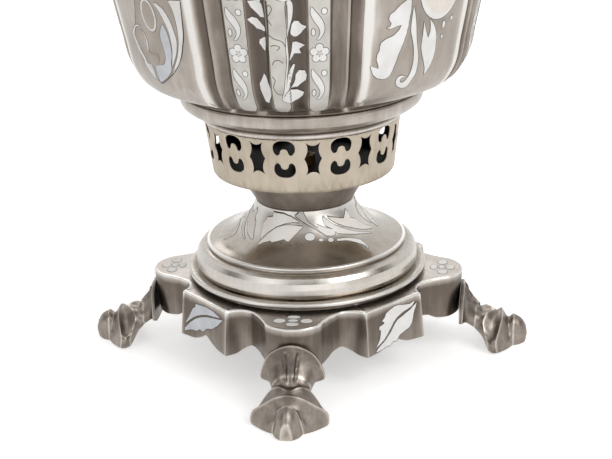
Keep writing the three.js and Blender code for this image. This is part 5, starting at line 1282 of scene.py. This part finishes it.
makeCrown()
turnedPiece("crownRim", ["crown_rim"], "crown", "plate", agedSheet,
            [[44.2, 417], [47.9, 417], [49.3, 418.2], [49.3, 419.1], [47.9, 420.4], [44.2, 420.4]],
            fillet=0.7, sides=160, shade=evenShade)
cap = {"radius": 23.6, "height": 14.4, "base": 390}
capShares = [[1, 0], [1.02, 0.1], [0.8, 0.38], [0.5, 0.56], [0.2, 0.66], [0.17, 0.84], [0.3, 0.95], [0.3, 1],
             [0, 1]]
turnedPiece("chimneyCap", ["chimney_cap"], "cap", "plate", agedSheet,
            [[0, 397.2], [9.7, 396.1], [19.5, 391.4], [19.5, 384.4], [20.7, 384.4], [20.7, cap["base"]],
             *shaped(capShares, cap["radius"], cap["height"], cap["base"])],
            fillet=1.1, closed=False, sides=120, shade=evenShade)
turnedPiece("capKnob", ["cap_knob"], "cap", "turned_wood", ebonised, shaped(
    knobShares, knob["radius"], knob["height"], knob["onCap"]), fillet=knob["fillet"], closed=False, sides=64)
print("top made")

# Tail, barrel, rosette and key stem: radius, height and where the turned profile starts.
tap = {"height": 181, "surface": 91.46, "axis": -125.46, "slope": 0.2756, "spout": 6.2, "bore": 4.2,
       "spoutLine": [[0, 0], [-15.3, 1.5], [-28.9, -2.5], [-34, -12.5], [-34, -25]], "fillet": 0.9,
       "tail": (7.2, 39.4, -86.06), "barrel": (11.6, 30, 166), "rosette": (18.5, 10.8, -5.4),
       "scallops": 12, "scallopDepth": 0.05, "scallopFrom": 15, "stem": (3.2, 16.1, 203.3),
       "rings": ((-8.364, 222.68), (8.364, 222.68), (0, 234.16))}


def bodyRadiusNear(z):
    # The body's radius at one height, without its flutes.
    return float(np.interp(z, bodyLine[:, 1], bodyLine[:, 0]))


def makeTap():
    # The body is three shapes that run into each other: the tail towards the samovar, the upright
    # barrel and the spout, a tube along a smooth curve with its bore.
    z0, y0, fillet = tap["height"], tap["axis"], tap["fillet"]
    at = {"to": (0, y0, 0)}
    tailShares = [[0, 0.2], [1.7, 0.2], [1.7, 0.45], [1, 0.55], [1, 0.68], [1.25, 0.72], [1.25, 0.8],
                  [1, 0.84], [1, 1]]
    radius, length, start = tap["tail"]
    tail = moved(spun(tailShares, radius, length, fillet, 48), tilt=(0, -1, 0), to=(0, start, z0))
    barrelShares = [[0, 0], [0.78, 0], [0.74, 0.12], [0.88, 0.4], [0.86, 0.85], [1, 0.91], [0.97, 1], [0, 1]]
    radius, height, base = tap["barrel"]
    barrel = moved(spun(barrelShares, radius, height, fillet, 72, base), **at)
    line = smoothProfile(np.array(tap["spoutLine"]) + [y0, z0], 60)
    path = np.stack([0 * line[:, 0], line[:, 0], line[:, 1]], -1)
    share = np.linspace(0, 1, 60)
    radii = tap["spout"] * np.where(share > 0.93, 1.09, 1 - 0.1 * share)
    spout = tube(path, radii, 32)[1:-1]
    bore = tube(path[30:], tap["bore"], 32)[1:-1]
    mouth = np.concatenate([spout, bore[::-1]])
    makePiece("tapBody", "base", "cast_plate", agedCast, [evenGrid(part) for part in (tail, barrel, mouth)],
              ["tap_body"])
    rosetteShares = [[0, 0.45], [0.98, 0.45], [1, 0.5], [0.97, 0.56], [0.82, 0.6], [0.76, 0.85], [0.7, 0.98],
                     [0.5, 1], [0, 1]]
    radius, height, base = tap["rosette"]
    rosette = spun(rosetteShares, radius, height, 0.8, 120, base)
    angle = np.arctan2(rosette[..., 1], rosette[..., 0])
    outer = np.linalg.norm(rosette[..., :2], axis=-1, keepdims=True) > tap["scallopFrom"]
    wave = np.abs(np.sin(angle * tap["scallops"] / 2))[..., None] ** 0.6
    rosette[..., :2] *= 1 - tap["scallopDepth"] * wave * outer
    tilt = math.atan(tap["slope"])
    rosette = moved(rosette, tilt=(0, -math.cos(tilt), -math.sin(tilt)), to=(0, -tap["surface"], z0))
    makePiece("tapRosette", "base", "plate", agedSheet, [evenGrid(rosette)], ["tap_rosette"])
    plug = [[0, 158.7], [3.2, 158.7], [3.2, 165.7], [5.7, 165.7], [7.1, 196], [7.1, 196.3], [7.7, 196.3],
            [7.7, 198], [3.2, 198], [3.2, 203], [0, 203]]
    turnedPiece("tapPlug", ["tap_plug"], "tap", "bare_brass", turnedBrass, plug, fillet=0.3, closed=False,
                sides=64, place=at)
    turnedPiece("tapWasher", ["tap_washer"], "tap", "bare_brass", turnedBrass,
                [[3.5, 164], [6.9, 164], [6.9, 165.4], [3.5, 165.4]], fillet=0.3, sides=48, place=at)
    turnedPiece("tapNut", ["tap_nut"], "tap", "bare_brass", turnedBrass,
                [[3.5, 159.7], [5.3, 159.7], [5.75, 160.1], [5.75, 163.3], [5.3, 163.7], [3.5, 163.7]],
                fillet=0.2, sides=6, place=at, crease=20)
    ringLine = roundedCorners([[4.05, -2.6], [8.1, -2.6], [8.1, 2.6], [4.05, 2.6]], 1.5, steps=6)
    rings = []
    for x, z in tap["rings"]:
        rings.append(evenGrid(moved(turned(ringLine, 64), tilt=(0, -1, 0), to=(x, y0, z)), 0.1, True))
    stemLine = [[0, 0], [1.7, 0], [1.9, 0.14], [1.5, 0.3], [1, 0.45], [1, 1], [0, 1]]
    radius, height, base = tap["stem"]
    stem = moved(spun(stemLine, radius, height, fillet, 48, base), **at)
    makePiece("tapKey", "tap", "cast_plate", agedCast, [evenGrid(stem), *rings], ["tap_key"])


makeTap()

# Rod, root and finial: radius and length, the rod's to each side. Lower: how far the root stands
# under the grip.
handle = {"height": 268, "grip": 146, "half": 31, "thick": 9.6, "eye": 34.3, "nut": 37.6, "lower": 20,
          "rod": (2.4, 37.3), "root": (10.5, 13.65), "sunk": 6, "arm": 4.3, "finial": (4.7, 7.4)}


def makeHandle(side, turn):
    # Built to the right and turned to its side: a grip on a rod between two arms, each a tapering
    # tube from its root on the body to its eye round the rod.
    h = handle
    surface = bodyRadiusNear(h["height"] - h["lower"])
    gripShares = [[0.38, 0.0], [0.72, 0], [0.72, 0.05], [0.58, 0.09], [0.84, 0.24], [1, 0.5], [0.84, 0.76],
                  [0.58, 0.91], [0.72, 0.95], [0.72, 1], [0.38, 1]]
    ends = shaped(gripShares, h["thick"], 2 * h["half"], -h["half"])
    middle = smoothProfile(ends[3:8], 40)
    grip = turned(np.concatenate([roundedCorners(ends[:4], 0.7, closed=False)[:-1], middle,
                                  roundedCorners(ends[7:], 0.7, closed=False)[1:]]), 72)
    grip = moved(grip, tilt=(0, 1, 0), to=(h["grip"], 0, h["height"]))
    makePiece("handleGrip_" + side, "base", "turned_wood", ebonised, [[moved(grip, turn=turn), False, True]],
              ["handle_grip_" + side])
    thick, half = h["rod"]
    rod = moved(turned([[0, -half], [thick, -half], [thick, half], [0, half]], 24), tilt=(0, 1, 0),
                to=(h["grip"], 0, h["height"]))
    makePiece("handleRod_" + side, "base", "steel_rod", drawnSteel, [[moved(rod, turn=turn), False, True]],
              ["handle_rod_" + side])
    for end, way in (("front", -1), ("rear", 1)):
        out, inward, drop = np.array([[-0.13, 1, 1], [0.3, 0.8, 1.1], [0.75, 0, 0.8], [0.96, 0, 0.1]]).T
        radius, length = h["root"]
        path = lineThrough(np.arange(4), np.stack([
            surface + (h["grip"] - surface) * out, way * (h["eye"] - radius * inward),
            h["height"] - h["lower"] * drop], -1), np.linspace(0.35, 3, 40))
        arm = tube(path, h["arm"] * np.linspace(1.05, 0.68, 40), 24)
        rootShares = [[0, 0.5], [1, 0.5], [0.94, 0.6], [0.45, 0.8], [0.36, 1]]
        root = moved(spun(rootShares, radius, length, 1.2, 64), tilt=(1, 0, 0),
                     to=(surface - h["sunk"], way * (h["eye"] - radius), h["height"] - h["lower"]))
        eyeLine = roundedCorners([[2.7, -3], [7.5, -3], [7.5, 3], [2.7, 3]], 1.1, steps=5)
        eye = moved(turned(eyeLine, 64), tilt=(0, 1, 0), to=(h["grip"], way * h["eye"], h["height"]))
        makePiece("handleArm_" + side + "_" + end, "base", "cast_plate", agedCast,
                  [evenGrid(moved(arm, turn=turn)), evenGrid(moved(root, turn=turn)),
                   evenGrid(moved(eye, turn=turn), 0.1, True)], ["handle_arm_" + side + "_" + end])
        finialShares = [[0, 0], [1, 0.05], [0.8, 0.25], [0.95, 0.5], [0.4, 1], [0, 1]]
        finial = moved(spun(finialShares, *h["finial"], 0.9, 48), tilt=(0, way, 0),
                       to=(h["grip"], way * h["nut"], h["height"]))
        makePiece("handleFinial_" + side + "_" + end, "base", "cast_plate", agedCast,
                  [evenGrid(moved(finial, turn=turn), 0.1)], ["handle_finial_" + side + "_" + end])


makeHandle("right", 0)
makeHandle("left", 180)
print("tap and handles made")

# The CAD meshes that stay visible inside get the finish of what they are.
hidden = {"body_floor": tinnedSheet, "grate": sootyIron, "tie_rod": drawnSteel, "tie_washer": turnedBrass,
          "tie_nut_lower": turnedBrass, "tie_nut_upper": turnedBrass}
for node, material in hidden.items():
    kept = nodes[node]
    for child in [kept, *kept.children_recursive]:
        if child.type == "MESH":
            child.data.materials.clear()
            child.data.materials.append(material)

stage = {"focal": 81.7, "distance": 0.715, "bearing": 51.2, "height": 0.329, "pitch": 20.26, "roll": 1.89,
         "white": 1.0, "ambient": 0.46, "floorColour": "#f2f1ef", "floorLift": 0.5, "floorSize": 12,
         "aim": 0.2, "lampAim": 0.15, "wallColour": "#5b5143", "curtainSize": (2.6, 2.2), "curtainsAt": 3.4,
         "curtains": [("curtainBack", 0, 1.9), ("curtainLeft", 75, 1.6), ("curtainRight", -75, 1.6)]}
# Lamps: side in metres, power in watts, bearing in degrees, distance and height in metres.
lamps = {"key": (0.9, 9.0, 100, 1.3, 1.1), "fill": (1.2, 4.0, 0, 1.5, 0.9), "back": (0.9, 5.0, 235, 1.3, 1.2),
         "low": (0.9, 2.0, 62, 1.1, 0.25)}


def stageBox(name, size, at, material):
    # A flat sheet of the set, which faces the samovar.
    sheet = bpy.data.meshes.new(name)
    w, h = size[0] / 2, size[1] / 2
    sheet.from_pydata([(-w, -h, 0), (w, -h, 0), (w, h, 0), (-w, h, 0)], [], [(0, 1, 2, 3)])
    sheet.materials.append(material)
    thing = bpy.data.objects.new(name, sheet)
    bpy.context.scene.collection.objects.link(thing)
    thing.location = at
    if at[2]:
        aim = mathutils.Vector((0, 0, stage["aim"])) - mathutils.Vector(at)
        thing.rotation_euler = aim.to_track_quat("Z", "Y").to_euler()
    return thing


def studioLamp(name, size, power, bearing, distance, height):
    # Soft square lamp at a bearing round the samovar, aimed at the middle of the object.
    lamp = bpy.data.lights.new(name, "AREA")
    lamp.shape, lamp.size, lamp.energy = "SQUARE", size, power
    thing = bpy.data.objects.new(name, lamp)
    a = math.radians(bearing)
    thing.location = (distance * math.cos(a), distance * math.sin(a), height)
    aim = mathutils.Vector((0, 0, stage["lampAim"])) - thing.location
    thing.rotation_euler = aim.to_track_quat("-Z", "Y").to_euler()
    bpy.context.scene.collection.objects.link(thing)


def seenDirectly(tree):
    # 1 where the eye sees the surface itself, in a mirror or through glass, and 0 for soft light.
    rays = addNode(tree, "ShaderNodeLightPath").outputs
    seen = rays["Is Camera Ray"]
    for kind in ("Is Glossy Ray", "Is Transmission Ray"):
        larger = addNode(tree, "ShaderNodeMath", {"operation": "MAXIMUM"}, {0: seen, 1: rays[kind]})
        seen = larger.outputs["Value"]
    return seen


def addStage():
    # The camera stands on a circle round the own axis. Floor and world are seen white but light
    # the metal less, and dark curtains on the camera's side give the plate something to mirror.
    s = stage
    camera = bpy.data.objects.new("camera", bpy.data.cameras.new("camera"))
    camera.data.lens, camera.data.sensor_width = s["focal"], 36
    camera.data.clip_start = 0.01
    a = math.radians(s["bearing"])
    camera.location = (s["distance"] * math.cos(a), ownAxis * mm + s["distance"] * math.sin(a), s["height"])
    turns = ((a + math.pi / 2, "Z"), (math.pi / 2 - math.radians(s["pitch"]), "X"),
             (math.radians(-s["roll"]), "Z"))
    heading, tip, roll = (mathutils.Matrix.Rotation(angle, 4, axis) for angle, axis in turns)
    camera.rotation_euler = (heading @ tip @ roll).to_euler()
    bpy.context.scene.collection.objects.link(camera)
    bpy.context.scene.camera = camera

    floor, tree, surface = startMaterial("studioFloor", Roughness=0.9)
    place = addNode(tree, "ShaderNodeTexCoord").outputs["Object"]
    grain = addNode(tree, "ShaderNodeTexNoise", {}, {"Vector": place, "Scale": 300.0})
    ramp = addNode(tree, "ShaderNodeValToRGB", {}, {"Fac": grain.outputs["Fac"]})
    ramp.color_ramp.elements[0].color = hexColour(s["floorColour"])
    ramp.color_ramp.elements[1].color = hexColour("#ffffff")
    tree.links.new(ramp.outputs["Color"], surface.inputs["Base Color"])
    lift = addNode(tree, "ShaderNodeMath", {"operation": "MULTIPLY"}, {
        0: seenDirectly(tree), 1: s["floorLift"]})
    surface.inputs["Emission Color"].default_value = (1, 1, 1, 1)
    tree.links.new(lift.outputs["Value"], surface.inputs["Emission Strength"])
    stageBox("floor", (s["floorSize"], s["floorSize"]), (0, 0, 0), floor)

    world = bpy.data.worlds.new("studio")
    bpy.context.scene.world = world
    world.use_nodes = True
    tree = world.node_tree
    level = addNode(tree, "ShaderNodeMapRange", {}, {
        "Value": seenDirectly(tree), "To Min": s["ambient"], "To Max": s["white"]})
    back = tree.nodes["Background"]
    back.inputs["Color"].default_value = (1, 1, 1, 1)
    tree.links.new(level.outputs["Result"], back.inputs["Strength"])

    wall = plainMaterial("studioCurtain", s["wallColour"], 0.0, 0.9)
    a = math.radians(s["bearing"])
    for name, bearing, height in s["curtains"]:
        b = a + math.radians(bearing)
        place = (s["curtainsAt"] * math.cos(b), s["curtainsAt"] * math.sin(b), height)
        curtain = stageBox(name, s["curtainSize"], place, wall)
        curtain.visible_camera = False
    for name, values in lamps.items():
        studioLamp(name, *values)


addStage()
print("set made")
bpy.context.scene.view_settings.view_transform = "Standard"
